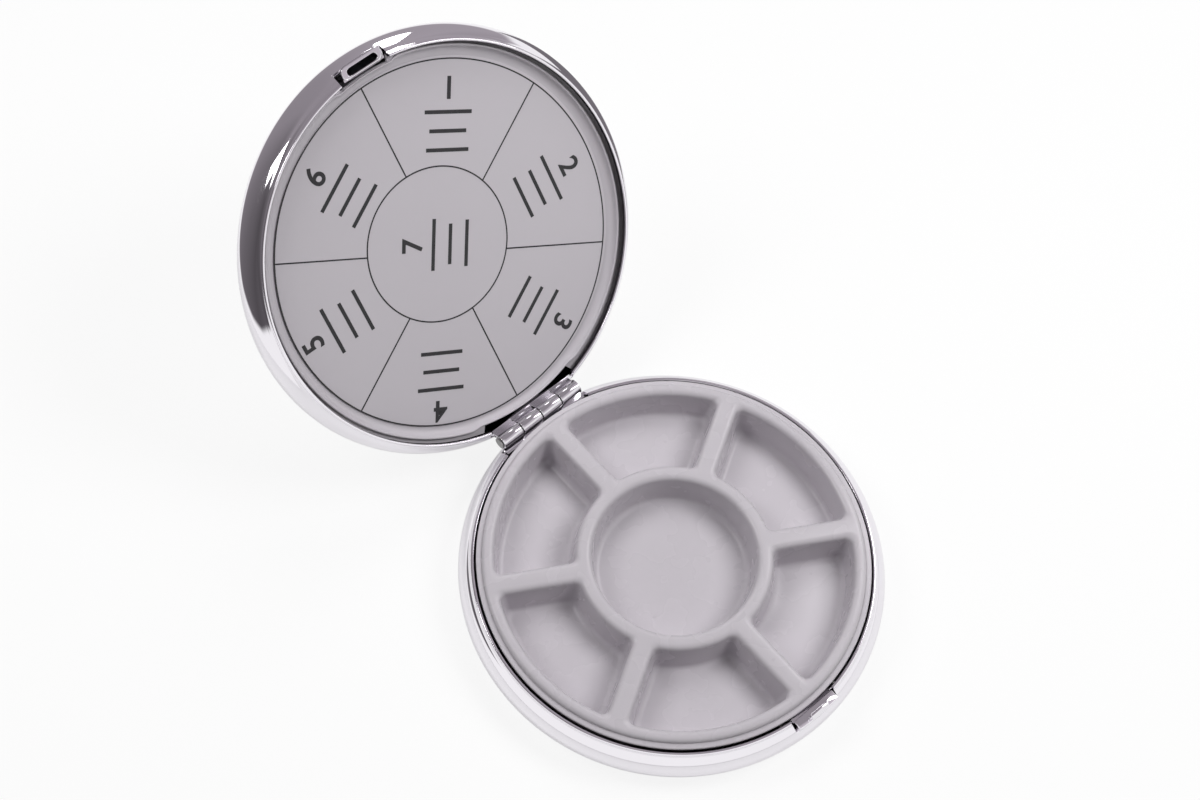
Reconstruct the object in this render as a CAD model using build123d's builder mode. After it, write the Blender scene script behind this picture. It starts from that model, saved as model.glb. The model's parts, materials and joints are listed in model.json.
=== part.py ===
"""Round weekly pill box, shown open: two pressed metal shells on a knuckle hinge,
a seven-pocket tray in the base, and a lined lid with a day label.

Millimetres. +Z up, origin at the centre of the base's underside, hinge towards +Y,
latch button towards -Y. The lid is built in its own frame, turned open about the hinge.
"""

from build123d import *
import os
from math import asin, cos, pi, radians, sin, tan

# Shell sizes
widest_radius = 35.0         # bulge of the shell side
half_height = 8.5            # outer face to the parting plane, each half
rim_gap = 0.1                # each rim stops short of the parting plane
bulge_sink = 4.3             # bulge below the parting plane
side_width = 5.0             # bulge to the edge of the flat outer face
shoulder_radius = 4.2        # curl of the side from the bulge in to the rim
rim_inset = 2.0              # bulge to the rim's outer face
base_wall = 0.6
lid_wall = 0.5
notch_cut = 8.0              # length of the cuts through a shell's side

# Hinge sizes
open_angle = 130.0           # lid opening in the pose built here
hinge_out = 0.8              # hinge axis outside the rim
knuckle_radius = 1.25
knuckle_pitch = 4.2
knuckle_gap = 0.12
pin_radius = 0.5
pin_clearance = 0.05         # running fit in the lid's knuckles
pin_head_radius = 1.0
pin_head_length = 0.3
leaf_sheet = 0.5
leaf_strip = 0.55            # strip tangent to the knuckles
leaf_wall_gap = 0.1          # plate to the rim's inner face
leaf_notch_depth = 1.6       # shell's notch for the hinge, below the parting plane
leaf_notch_side_gap = 0.3
leaf_shelf_thickness = 0.45
leaf_plate_half_width = 7.0
leaf_plate_height = 3.3
stop_ear_inner = 0.68        # ear that the lid leaf's shelf rests on when open
stop_ear_outer = 0.15
stop_ear_low = 0.9
stop_ear_high = 1.4

# Tray sizes
tray_rise = 1.2              # top of the tray above the parting plane
tray_plate = 1.0
tray_edge_round = 0.7
lip_gap = 0.5                # lip to the rim's inner face
lip_width = 0.7
lip_rise = 0.4               # top of the lip above the parting plane
lip_thickness = 0.6
lip_round = 0.25
outer_pockets = 6
tray_border = 1.9            # outer pockets to the tray's edge
cup_radius = 13.6
ring_width = 2.4             # between the cup and the outer pockets
spoke_width = 3.3
pocket_depth = 6.3
pocket_wall = 1.0
pocket_draft = 8.0
sector_corner = 1.1
pocket_floor_round = 0.9
pocket_mouth_round = 0.4
foot_inset = 4.6             # ring under the cup, in from its mouth
outer_foot_inset = 5.3       # ring under the outer pockets, in from their outer side
foot_width = 1.2
level_match = 0.01           # how closely an edge's height is matched

# Lid lining sizes
liner_gap = 1.0              # edge of the lining to the rim's inner face
liner_cove = 1.3             # width of the curved edge
liner_sink = 2.5             # flat of the lining below the parting plane
liner_edge_sink = 1.4        # edge of the lining below the parting plane
liner_sheet = 0.8
liner_lip = 0.45
bead_rise = 0.1              # bead that snaps into the shell, above the flat
bead_thickness = 0.5
bead_end_gap = 0.8           # bead's ends to the hinge barrel's ends
bead_latch_gap = 0.1         # bead's ends to the latch notch
bead_cut_gap = 0.05
bead_cut = 4.0
label_gap = 0.15             # label's edge to the curved edge
label_sheet = 0.15

# Latch sizes
latch_travel = 0.5
latch_notch_half_width = 4.3
base_notch_depth = 1.7       # below the parting plane
lid_notch_depth = 2.0
button_side_gap = 0.2
button_foot_gap = 0.1
button_top_gap = 0.2
button_out = 1.3             # finger face outside the rim
button_lip_gap = 0.15        # pressed button to the tray's lip
button_step_drop = 0.6       # step of the button below the tray's lip
retainer_gap = 0.15          # plate behind the shell to the rim's inner face
retainer_sheet = 0.45
retainer_overlap = 0.8       # plate past each side of the notch
retainer_rise = 0.4          # plate above the bottom of the notch
retainer_height = 2.5
hook_half_width = 1.8
hook_out = 0.5               # hook outside the rim
hook_sheet = 0.4
hook_root = 0.3
hook_barb_reach = 0.5
hook_barb_height = 0.55
hook_tip = 0.1
hook_catch_gap = 0.05        # barb over the closed lid's ring
bracket_sheet = 0.4
bracket_side_gap = 0.4
bracket_foot_gap = 0.1
bracket_top_drop = 0.2
spring_sheet = 0.2
spring_bow = 0.9
spring_end_gap = 0.5
spring_rise = 0.5
spring_width = 1.4
catch_side_gap = 1.0         # stem to each side of the notch
catch_slot_gap = 0.3         # slot past the hook's outer face
catch_slot_end_gap = 0.4     # slot past each side of the hook
catch_ring_width = 0.6
catch_corner = 1.0
catch_face_gap = 0.15
catch_sheet = 0.45
catch_depth = 3.5            # foot of the catch below the parting plane
over_cut = 1.0               # how far a cut runs past what it cuts

# Derived radii of the shells and the hinge
flat_radius = widest_radius - side_width
rim_radius = widest_radius - rim_inset
rim_height = half_height - rim_gap
widest_height = half_height - bulge_sink
shoulder_centre = widest_radius - shoulder_radius
hinge_y = rim_radius + hinge_out
hinge_z = half_height
barrel_half_length = 2 * knuckle_pitch
leaf_strip_inner = hinge_y - knuckle_radius
leaf_strip_outer = leaf_strip_inner + leaf_strip
leaf_plate_inner = rim_radius - base_wall - leaf_wall_gap - leaf_sheet
leaf_notch_height = half_height - leaf_notch_depth
leaf_plate_bottom = leaf_notch_height - leaf_plate_height

# Derived sizes of the tray
tray_top = half_height + tray_rise
lip_top = half_height + lip_rise
lip_bottom = lip_top - lip_thickness
lip_radius = rim_radius - base_wall - lip_gap
tray_edge_radius = lip_radius - lip_width
sector_outer = tray_edge_radius - tray_border
sector_inner = cup_radius + ring_width
sector_turn = 360 / outer_pockets
foot_radii = (cup_radius - foot_inset, sector_outer - outer_foot_inset)
draft_slope = tan(radians(pocket_draft))

# Derived sizes of the lid's lining
liner_edge_radius = rim_radius - lid_wall - liner_gap
liner_flat_radius = liner_edge_radius - liner_cove
liner_floor = half_height - liner_sink
liner_edge_height = half_height - liner_edge_sink
bead_low = liner_floor + bead_rise
bead_high = bead_low + bead_thickness
bead_hinge_half_width = barrel_half_length + bead_end_gap
bead_latch_half_width = latch_notch_half_width + bead_latch_gap
label_radius = liner_flat_radius - label_gap

# Derived sizes of the latch, radii measured towards the latch side
base_notch_height = half_height - base_notch_depth
lid_notch_height = half_height - lid_notch_depth
button_half_width = latch_notch_half_width - button_side_gap
button_low = base_notch_height + button_foot_gap
button_high = half_height - button_top_gap
button_face_radius = rim_radius + button_out
button_top_inner = lip_radius + latch_travel + button_lip_gap
button_step = lip_bottom - button_step_drop
retainer_outer = rim_radius - base_wall - retainer_gap
retainer_inner = retainer_outer - retainer_sheet
retainer_half_width = latch_notch_half_width + retainer_overlap
retainer_high = base_notch_height + retainer_rise
retainer_low = retainer_high - retainer_height
hook_inner = rim_radius + hook_out
hook_outer = hook_inner + hook_sheet
hook_barb = hook_outer + hook_barb_reach
bracket_back_inner = retainer_inner - spring_bow - bracket_sheet
bracket_half_width = retainer_half_width + bracket_side_gap + bracket_sheet
bracket_low = retainer_low - bracket_foot_gap - bracket_sheet
bracket_high = retainer_high - bracket_top_drop
spring_half_length = retainer_half_width - spring_end_gap
spring_low = retainer_low + spring_rise
spring_high = spring_low + spring_width
catch_half_width = latch_notch_half_width - catch_side_gap
catch_inner = rim_radius - lid_wall
catch_slot_inner = catch_inner + catch_sheet
catch_slot_outer = hook_outer + catch_slot_gap
catch_slot_half_width = hook_half_width + catch_slot_end_gap
catch_outer = catch_slot_outer + catch_ring_width
catch_face = half_height - catch_face_gap
catch_foot_height = half_height - catch_depth
hook_barb_low = half_height + catch_face_gap + catch_sheet + hook_catch_gap
hook_high = hook_barb_low + hook_barb_height

# Frames. The lid's frame starts at its outer face and points into the lid, so both
# halves share one profile; its hinge side is at minus Y of that frame.
turn_sin = sin(radians(open_angle))
turn_cos = cos(radians(open_angle))
lid_origin = (
    0,
    hinge_y - hinge_y * turn_cos + half_height * turn_sin,
    hinge_z + hinge_y * turn_sin + half_height * turn_cos,
)
lid_frame = Plane(origin=lid_origin, x_dir=(1, 0, 0), z_dir=(0, -turn_sin, -turn_cos))
lid_section = Plane(origin=lid_origin, x_dir=(1, 0, 0), z_dir=tuple(lid_frame.y_dir * -1))
lid_side = Plane(origin=lid_origin, x_dir=tuple(lid_frame.y_dir), z_dir=(1, 0, 0))
lid_axis = Axis(lid_origin, tuple(lid_frame.z_dir))


def cup_outline(inset):
    """Return the half profile of a shell, set in by a wall thickness, closed on the axis."""
    curl = shoulder_radius - inset
    rim = rim_radius - inset
    rise = (curl ** 2 - (rim - shoulder_centre) ** 2) ** 0.5
    with BuildSketch(Plane.XY) as outline:
        with BuildLine():
            Line((0, rim_height), (0, inset))
            Line((0, inset), (flat_radius, inset))
            EllipticalCenterArc(
                (flat_radius, widest_height),
                widest_radius - flat_radius - inset,
                widest_height - inset,
                start_angle=-90,
                arc_size=90,
            )
            RadiusArc((widest_radius - inset, widest_height), (rim, widest_height + rise), -curl)
            Line((rim, widest_height + rise), (rim, rim_height))
            Line((rim, rim_height), (0, rim_height))
        make_face()
    return outline.sketch


def sector_outline(grow):
    """Return one outer pocket of the tray, pointing along X, grown outwards by a wall."""
    inner = sector_inner - grow
    outer = sector_outer + grow
    edge = spoke_width / 2 - grow
    inner_angle = radians(sector_turn / 2) - asin(edge / inner)
    outer_angle = radians(sector_turn / 2) - asin(edge / outer)
    low_in = (inner * cos(inner_angle), -inner * sin(inner_angle))
    low_out = (outer * cos(outer_angle), -outer * sin(outer_angle))
    high_in = (low_in[0], -low_in[1])
    high_out = (low_out[0], -low_out[1])
    with BuildSketch(Plane.XY) as outline:
        with BuildLine():
            Line(low_in, low_out)
            ThreePointArc(low_out, (outer, 0), high_out)
            Line(high_out, high_in)
            ThreePointArc(high_in, (inner, 0), low_in)
        make_face()
        fillet(outline.vertices(), sector_corner)
    return outline.sketch


# Base half

with BuildPart() as base_shell:
    with BuildSketch(Plane.XZ):
        add(cup_outline(0))
    revolve(axis=Axis.Z)
    with BuildSketch(Plane.XZ):
        add(cup_outline(base_wall))
    revolve(axis=Axis.Z, mode=Mode.SUBTRACT)
    with BuildSketch(Plane.XY.offset(leaf_notch_height)):
        with Locations((0, rim_radius)):
            Rectangle(2 * (barrel_half_length + leaf_notch_side_gap), notch_cut)
    extrude(amount=half_height, mode=Mode.SUBTRACT)
    with BuildSketch(Plane.XY.offset(base_notch_height)):
        with Locations((0, -rim_radius)):
            Rectangle(2 * latch_notch_half_width, notch_cut)
    extrude(amount=half_height, mode=Mode.SUBTRACT)
base_shell.part.label = "base_shell"

with BuildPart() as pill_tray:
    # Raised top with a rounded edge, and the lower lip round it
    with BuildSketch(Plane.XZ) as tray_section:
        with BuildLine():
            Polyline(
                (0, tray_top),
                (tray_edge_radius, tray_top),
                (tray_edge_radius, lip_top),
                (lip_radius, lip_top),
                (lip_radius, lip_bottom),
                (tray_edge_radius - pocket_wall, lip_bottom),
                (tray_edge_radius - pocket_wall, tray_top - tray_plate),
                (0, tray_top - tray_plate),
                close=True,
            )
        make_face()
        fillet(tray_section.vertices().sort_by_distance((tray_edge_radius, tray_top))[0], tray_edge_round)
        fillet(tray_section.vertices().sort_by_distance((lip_radius, lip_top))[0], lip_round)
    revolve(axis=Axis.Z)
    # Walls and floor of each pocket
    wall_depth = pocket_depth + pocket_wall
    with BuildSketch(Plane.XZ):
        with BuildLine():
            Polyline(
                (0, tray_top),
                (cup_radius + pocket_wall, tray_top),
                (cup_radius + pocket_wall - wall_depth * draft_slope, tray_top - wall_depth),
                (0, tray_top - wall_depth),
                close=True,
            )
        make_face()
    revolve(axis=Axis.Z)
    for turn in range(outer_pockets):
        with BuildSketch(Plane.XY.offset(tray_top).rotated((0, 0, sector_turn * turn))):
            add(sector_outline(pocket_wall))
        with BuildSketch(Plane.XY.offset(tray_top - wall_depth).rotated((0, 0, sector_turn * turn))):
            add(sector_outline(pocket_wall - wall_depth * draft_slope))
        loft(ruled=True)
    # Rings under the floors, standing on the shell
    with BuildSketch(Plane.XY.offset(base_wall)):
        for radius in foot_radii:
            Circle(radius + foot_width / 2)
            Circle(radius - foot_width / 2, mode=Mode.SUBTRACT)
    extrude(amount=tray_top - pocket_depth - pocket_wall / 2 - base_wall)
    # Pockets
    with BuildSketch(Plane.XZ):
        with BuildLine():
            Polyline(
                (0, tray_top),
                (cup_radius, tray_top),
                (cup_radius - pocket_depth * draft_slope, tray_top - pocket_depth),
                (0, tray_top - pocket_depth),
                close=True,
            )
        make_face()
    revolve(axis=Axis.Z, mode=Mode.SUBTRACT)
    for turn in range(outer_pockets):
        with BuildSketch(Plane.XY.offset(tray_top).rotated((0, 0, sector_turn * turn))):
            add(sector_outline(0))
        with BuildSketch(Plane.XY.offset(tray_top - pocket_depth).rotated((0, 0, sector_turn * turn))):
            add(sector_outline(-pocket_depth * draft_slope))
        loft(ruled=True, mode=Mode.SUBTRACT)
    floor_height = tray_top - pocket_depth
    fillet(
        pill_tray.edges().filter_by_position(Axis.Z, floor_height - level_match, floor_height + level_match),
        pocket_floor_round,
    )
    mouth_edges = pill_tray.edges().filter_by_position(Axis.Z, tray_top - level_match, tray_top + level_match)
    fillet(
        mouth_edges.filter_by(lambda edge: edge.length < 2 * pi * (cup_radius + pocket_wall)),
        pocket_mouth_round,
    )
pill_tray.part.label = "pill_tray"

# Hinge. Counted from minus X, knuckles 1 and 3 are the lid's, 2 and 4 the base's.

with BuildPart() as base_hinge_leaf:
    with BuildSketch(Plane.YZ):
        with Locations((leaf_plate_inner, leaf_notch_height)):
            Rectangle(leaf_strip_outer - leaf_plate_inner, leaf_shelf_thickness, align=(Align.MIN, Align.MIN))
    extrude(amount=barrel_half_length, both=True)
    with BuildSketch(Plane.YZ):
        with Locations((leaf_plate_inner + leaf_sheet / 2, (leaf_plate_bottom + leaf_notch_height) / 2)):
            Rectangle(leaf_sheet, leaf_notch_height - leaf_plate_bottom)
    extrude(amount=leaf_plate_half_width, both=True)
    for start in (-knuckle_pitch, knuckle_pitch):
        with BuildSketch(Plane.YZ.offset(start + knuckle_gap / 2)):
            with Locations((leaf_strip_inner, leaf_notch_height)):
                Rectangle(leaf_strip, hinge_z - leaf_notch_height, align=(Align.MIN, Align.MIN))
            with Locations((hinge_y, hinge_z)):
                Circle(knuckle_radius)
        extrude(amount=knuckle_pitch - knuckle_gap)
        with BuildSketch(lid_side.offset(start + knuckle_gap / 2)):
            with Locations((
                -hinge_y + (stop_ear_inner + stop_ear_outer) / 2,
                hinge_z - (stop_ear_low + stop_ear_high) / 2,
            )):
                Rectangle(stop_ear_inner - stop_ear_outer, stop_ear_high - stop_ear_low)
        extrude(amount=knuckle_pitch - knuckle_gap)
    with BuildSketch(Plane.YZ):
        with Locations((hinge_y, hinge_z)):
            Circle(pin_radius)
    extrude(amount=barrel_half_length, both=True, mode=Mode.SUBTRACT)
base_hinge_leaf.part.label = "base_hinge_leaf"

with BuildPart() as lid_hinge_leaf:
    with BuildSketch(lid_side):
        with Locations((-leaf_plate_inner, leaf_notch_height)):
            Rectangle(leaf_strip_outer - leaf_plate_inner, leaf_shelf_thickness, align=(Align.MAX, Align.MIN))
    extrude(amount=barrel_half_length, both=True)
    with BuildSketch(lid_side):
        with Locations((-leaf_plate_inner - leaf_sheet / 2, (leaf_plate_bottom + leaf_notch_height) / 2)):
            Rectangle(leaf_sheet, leaf_notch_height - leaf_plate_bottom)
    extrude(amount=leaf_plate_half_width, both=True)
    for start in (-2 * knuckle_pitch, 0):
        with BuildSketch(lid_side.offset(start + knuckle_gap / 2)):
            with Locations((-leaf_strip_inner, leaf_notch_height)):
                Rectangle(leaf_strip, hinge_z - leaf_notch_height, align=(Align.MAX, Align.MIN))
            with Locations((-hinge_y, hinge_z)):
                Circle(knuckle_radius)
        extrude(amount=knuckle_pitch - knuckle_gap)
    with BuildSketch(lid_side):
        with Locations((-hinge_y, hinge_z)):
            Circle(pin_radius + pin_clearance)
    extrude(amount=barrel_half_length, both=True, mode=Mode.SUBTRACT)
lid_hinge_leaf.part.label = "lid_hinge_leaf"

with BuildPart() as hinge_pin:
    with BuildSketch(Plane.YZ):
        with Locations((hinge_y, hinge_z)):
            Circle(pin_radius)
    extrude(amount=barrel_half_length, both=True)
    with BuildSketch(Plane.YZ.offset(-barrel_half_length)):
        with Locations((hinge_y, hinge_z)):
            Circle(pin_head_radius)
    extrude(amount=-pin_head_length)
hinge_pin.part.label = "hinge_pin"

# Latch in the base

with BuildPart() as latch_bracket:
    with BuildSketch(Plane.XY.offset(bracket_low)):
        with Locations((0, -(bracket_back_inner + widest_radius) / 2)):
            Rectangle(2 * bracket_half_width, widest_radius - bracket_back_inner)
    extrude(amount=bracket_high - bracket_low)
    with BuildSketch(Plane.XY.offset(bracket_low + bracket_sheet)):
        with Locations((0, -(bracket_back_inner + bracket_sheet + widest_radius + over_cut) / 2)):
            Rectangle(
                2 * (bracket_half_width - bracket_sheet),
                widest_radius + over_cut - bracket_back_inner - bracket_sheet,
            )
    extrude(amount=bracket_high, mode=Mode.SUBTRACT)
    with BuildSketch(Plane.XZ):
        add(cup_outline(base_wall))
    revolve(axis=Axis.Z, mode=Mode.INTERSECT)
latch_bracket.part.label = "latch_bracket"

with BuildPart() as latch_button:
    # Finger face, with a curved front
    with BuildSketch(Plane.XY.offset(button_low)):
        Circle(button_face_radius)
        with Locations((0, -(retainer_inner + button_face_radius) / 2)):
            Rectangle(
                2 * button_half_width,
                button_face_radius - retainer_inner,
                mode=Mode.INTERSECT,
            )
    extrude(amount=button_high - button_low)
    with BuildSketch(Plane.XY.offset(button_step)):
        with Locations((0, -(retainer_inner - over_cut + button_top_inner) / 2)):
            Rectangle(2 * (button_half_width + over_cut), button_top_inner - retainer_inner + over_cut)
    extrude(amount=button_high, mode=Mode.SUBTRACT)
    # Plate behind the shell that keeps it in
    with BuildSketch(Plane.XY.offset(retainer_low)):
        with Locations((0, -(retainer_inner + retainer_outer) / 2)):
            Rectangle(2 * retainer_half_width, retainer_outer - retainer_inner)
    extrude(amount=retainer_high - retainer_low)
    # Hook that holds the lid's catch
    with BuildSketch(Plane.YZ):
        with BuildLine():
            Polyline(
                (-hook_inner, button_high - hook_root),
                (-hook_outer, button_high - hook_root),
                (-hook_outer, hook_barb_low),
                (-hook_barb, hook_barb_low),
                (-hook_outer - hook_tip, hook_high),
                (-hook_inner, hook_high),
                close=True,
            )
        make_face()
    extrude(amount=hook_half_width, both=True)
latch_button.part.label = "latch_button"

with BuildPart() as latch_spring:
    bow_end = bracket_back_inner + bracket_sheet
    with BuildSketch(Plane.XY.offset(spring_low)):
        with BuildLine():
            ThreePointArc(
                (-spring_half_length, -bow_end - spring_sheet),
                (0, -retainer_inner),
                (spring_half_length, -bow_end - spring_sheet),
            )
            Line((spring_half_length, -bow_end - spring_sheet), (spring_half_length, -bow_end))
            ThreePointArc(
                (spring_half_length, -bow_end),
                (0, -retainer_inner + spring_sheet),
                (-spring_half_length, -bow_end),
            )
            Line((-spring_half_length, -bow_end), (-spring_half_length, -bow_end - spring_sheet))
        make_face()
    extrude(amount=spring_high - spring_low)
latch_spring.part.label = "latch_spring"

# Lid half

with BuildPart() as lid_shell:
    with BuildSketch(lid_section):
        add(cup_outline(0))
    revolve(axis=lid_axis)
    with BuildSketch(lid_section):
        add(cup_outline(lid_wall))
    revolve(axis=lid_axis, mode=Mode.SUBTRACT)
    with BuildSketch(lid_frame.offset(leaf_notch_height)):
        with Locations((0, -rim_radius)):
            Rectangle(2 * (barrel_half_length + leaf_notch_side_gap), notch_cut)
    extrude(amount=half_height, mode=Mode.SUBTRACT)
    with BuildSketch(lid_frame.offset(lid_notch_height)):
        with Locations((0, rim_radius)):
            Rectangle(2 * latch_notch_half_width, notch_cut)
    extrude(amount=half_height, mode=Mode.SUBTRACT)
lid_shell.part.label = "lid_shell"

with BuildPart() as lid_liner:
    # Flat floor, coved up to a rounded edge, and a bead that snaps into the shell
    with BuildSketch(lid_section):
        with BuildLine():
            Line((0, liner_floor), (liner_flat_radius, liner_floor))
            EllipticalCenterArc(
                (liner_flat_radius, liner_edge_height),
                liner_edge_radius - liner_lip - liner_flat_radius,
                liner_edge_height - liner_floor,
                start_angle=-90,
                arc_size=90,
            )
            Polyline(
                (liner_edge_radius - liner_lip, liner_edge_height),
                (liner_edge_radius, liner_edge_height),
                (liner_edge_radius, bead_high),
                (widest_radius, bead_high),
                (widest_radius, bead_low),
                (liner_edge_radius, bead_low),
                (liner_flat_radius, liner_floor - liner_sheet),
                (0, liner_floor - liner_sheet),
                (0, liner_floor),
            )
        make_face()
    revolve(axis=lid_axis)
    with BuildSketch(lid_section):
        add(cup_outline(lid_wall))
    revolve(axis=lid_axis, mode=Mode.INTERSECT)
    with BuildSketch(lid_frame):
        with Locations((0, -liner_edge_radius - bead_cut_gap - bead_cut / 2)):
            Rectangle(2 * bead_hinge_half_width, bead_cut)
        with Locations((0, liner_edge_radius + bead_cut_gap + bead_cut / 2)):
            Rectangle(2 * bead_latch_half_width, bead_cut)
    extrude(amount=half_height, mode=Mode.SUBTRACT)
lid_liner.part.label = "lid_liner"

with BuildPart() as day_label:
    with BuildSketch(lid_frame.offset(liner_floor)):
        Circle(label_radius)
    extrude(amount=label_sheet)
day_label.part.label = "day_label"

with BuildPart() as lid_catch:
    # Foot held on the shell's wall, and the stem up to the slotted ring
    with BuildSketch(lid_frame.offset(catch_foot_height)):
        with Locations((0, (catch_inner + widest_radius) / 2)):
            Rectangle(2 * catch_half_width, widest_radius - catch_inner)
    extrude(amount=catch_sheet)
    with BuildSketch(lid_section):
        add(cup_outline(lid_wall))
    revolve(axis=lid_axis, mode=Mode.INTERSECT)
    with BuildSketch(lid_frame.offset(catch_foot_height)):
        with Locations((0, (catch_inner + catch_slot_inner) / 2)):
            Rectangle(2 * catch_half_width, catch_slot_inner - catch_inner)
    extrude(amount=catch_face - catch_foot_height)
    with BuildSketch(lid_frame.offset(catch_face - catch_sheet)) as ring_sketch:
        with Locations((0, (catch_inner + catch_outer) / 2)):
            Rectangle(2 * catch_half_width, catch_outer - catch_inner)
        fillet(ring_sketch.vertices().group_by(Axis.Z)[-1], catch_corner)
    extrude(amount=catch_sheet)
    with BuildSketch(lid_frame.offset(catch_face - catch_sheet)):
        with Locations((0, (catch_slot_inner + catch_slot_outer) / 2)):
            SlotOverall(2 * catch_slot_half_width, catch_slot_outer - catch_slot_inner)
    extrude(amount=catch_sheet, mode=Mode.SUBTRACT)
lid_catch.part.label = "lid_catch"

os.makedirs("parts", exist_ok=True)
export_step(base_shell.part, "parts/base_shell.step")
export_step(pill_tray.part, "parts/pill_tray.step")
export_step(base_hinge_leaf.part, "parts/base_hinge_leaf.step")
export_step(lid_hinge_leaf.part, "parts/lid_hinge_leaf.step")
export_step(hinge_pin.part, "parts/hinge_pin.step")
export_step(latch_bracket.part, "parts/latch_bracket.step")
export_step(latch_button.part, "parts/latch_button.step")
export_step(latch_spring.part, "parts/latch_spring.step")
export_step(lid_shell.part, "parts/lid_shell.step")
export_step(lid_liner.part, "parts/lid_liner.step")
export_step(day_label.part, "parts/day_label.step")
export_step(lid_catch.part, "parts/lid_catch.step")
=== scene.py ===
"""Round weekly pill box, shown open: two pressed and polished metal shells on a knuckle hinge,
a moulded tray of seven pockets in the base, and a lined lid with a printed day chart.

The file is laid out as an add-on and run as a script. Each piece is built in its own half's
frame, with the half's outer face at height zero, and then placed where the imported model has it.
"""

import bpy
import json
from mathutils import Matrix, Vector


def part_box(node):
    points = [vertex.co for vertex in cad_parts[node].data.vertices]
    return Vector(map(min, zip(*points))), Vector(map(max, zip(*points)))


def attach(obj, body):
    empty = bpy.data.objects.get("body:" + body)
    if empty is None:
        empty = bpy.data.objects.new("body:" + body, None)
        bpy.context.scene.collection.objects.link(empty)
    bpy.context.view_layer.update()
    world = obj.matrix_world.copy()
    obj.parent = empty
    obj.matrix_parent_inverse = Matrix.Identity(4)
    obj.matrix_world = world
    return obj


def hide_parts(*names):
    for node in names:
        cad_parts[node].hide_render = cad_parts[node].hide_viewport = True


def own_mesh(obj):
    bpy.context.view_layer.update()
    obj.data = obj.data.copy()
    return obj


bl_info = {
    "name": "Weekly Pill Box",
    "version": (1, 0, 0),
    "blender": (4, 5, 0),
    "location": "View3D > Sidebar > Pill Box",
    "description": "Builds and finishes an open round pill box with metal shells and a moulded tray",
    "category": "Object",
}

import json
from math import asin, cos, degrees, pi, radians, sin, tan

import bmesh
import bpy
import numpy as np
from bpy.props import FloatProperty, FloatVectorProperty, IntProperty, PointerProperty
from mathutils import Euler, Matrix, Vector

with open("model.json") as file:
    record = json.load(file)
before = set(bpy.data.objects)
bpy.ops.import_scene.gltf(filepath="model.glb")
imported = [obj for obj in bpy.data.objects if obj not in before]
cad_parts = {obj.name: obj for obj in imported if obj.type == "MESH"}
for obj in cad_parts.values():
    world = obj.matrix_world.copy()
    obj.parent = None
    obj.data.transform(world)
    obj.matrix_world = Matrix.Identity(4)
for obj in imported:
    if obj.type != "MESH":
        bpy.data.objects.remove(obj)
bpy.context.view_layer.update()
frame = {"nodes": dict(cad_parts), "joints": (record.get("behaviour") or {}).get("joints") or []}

MM = 0.001

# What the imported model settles: the hinge axis, the joints' travel and the outer sizes
lid_joint = next(joint for joint in frame["joints"] if joint["name"] == "lid_hinge")
HINGE_Y = lid_joint["pos_m"][1]
HALF_HEIGHT = lid_joint["pos_m"][2]
OPEN_ANGLE = radians(lid_joint["range_deg"][1])
BULGE_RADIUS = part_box("base_shell")[1].x
RIM_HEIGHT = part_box("base_shell")[1].z
TRAY_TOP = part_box("pill_tray")[1].z
LIP_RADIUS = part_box("pill_tray")[1].x
BARREL_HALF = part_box("base_hinge_leaf")[1].x
CATCH_HALF_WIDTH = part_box("lid_catch")[1].x
LABEL_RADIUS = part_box("day_label")[1].x
KNUCKLE_PITCH = BARREL_HALF / 2

# Mesh layout: steps round a whole turn, radius of a disc's innermost ring, width of the flat kept
# beside a curve, and rings across a pocket's floor as shares of the way from its middle to its edge
SHELL_STEPS = 360
PRINT_STEPS = 240
INNER_RING = 3 * MM
SHELL_INNER_RING = 2 * MM
FLAT_MARGIN = 1 * MM
POCKET_FLOOR_RINGS = (0.8, 0.5, 0.2)
CUP_FLOOR_RINGS = (0.75, 0.5, 0.25)

# Half a pocket's outline: points on the outer arc, steps round a corner, points on the spoke and
# steps on the inner arc. SPOKE_END numbers the spoke's last point. OUTER_CORNER and INNER_CORNER
# number the points that meet the corners of the cell round the pocket: the middle of the outer
# rounded corner, and the point before the middle of the inner one.
ARC_POINTS = 14
CORNER_STEPS = 8
SPOKE_POINTS = 10
INNER_STEPS = 8
CORNER_HALF = CORNER_STEPS // 2
SPOKE_END = ARC_POINTS + CORNER_STEPS + SPOKE_POINTS
OUTER_CORNER = ARC_POINTS + CORNER_HALF
INNER_CORNER = SPOKE_END + CORNER_HALF

# The chart: degrees from one day to the next, and the direction of the middle number's top
DAY_TURN = 60
MIDDLE_TURN = 150
# The chart's number and ruled lines: steps of the lines' spacing above a block's middle, with each
# line's length in mm, and the height of a number as a share of its font's size
NUMBER_STEP = 1.5
RULED_LINES = ((0.3, 8.4), (-0.7, 6.6), (-1.7, 7.6))
NUMBER_SHARE = 0.7

# Reflection cards round the box: direction in degrees, tone, and height of the lower edge in mm
CARD_TONES = (
    (-105, 1.0, 95),
    (-95, 0.62, 95),
    (-5, 0.62, 95),
    (5, 0.55, 62),
    (25, 0.55, 62),
    (33, 0.36, 58),
    (45, 0.40, 40),
    (75, 0.37, 35),
    (90, 0.30, 28),
    (105, 0.28, 25),
    (120, 0.20, 18),
    (135, 0.15, 13),
    (150, 0.12, 17),
    (165, 0.09, 28),
    (180, 0.11, 47),
    (207, 0.14, 54),
    (216, 1.0, 56),
)
# Strip lights that only reflections show: name, direction in degrees, low and high edge in mm
STRIP_LIGHTS = (
    ("strip_back", 68, 60, 108),
    ("strip_right", -20, 62, 150),
    ("strip_left", 139, 95, 180),
)

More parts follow.
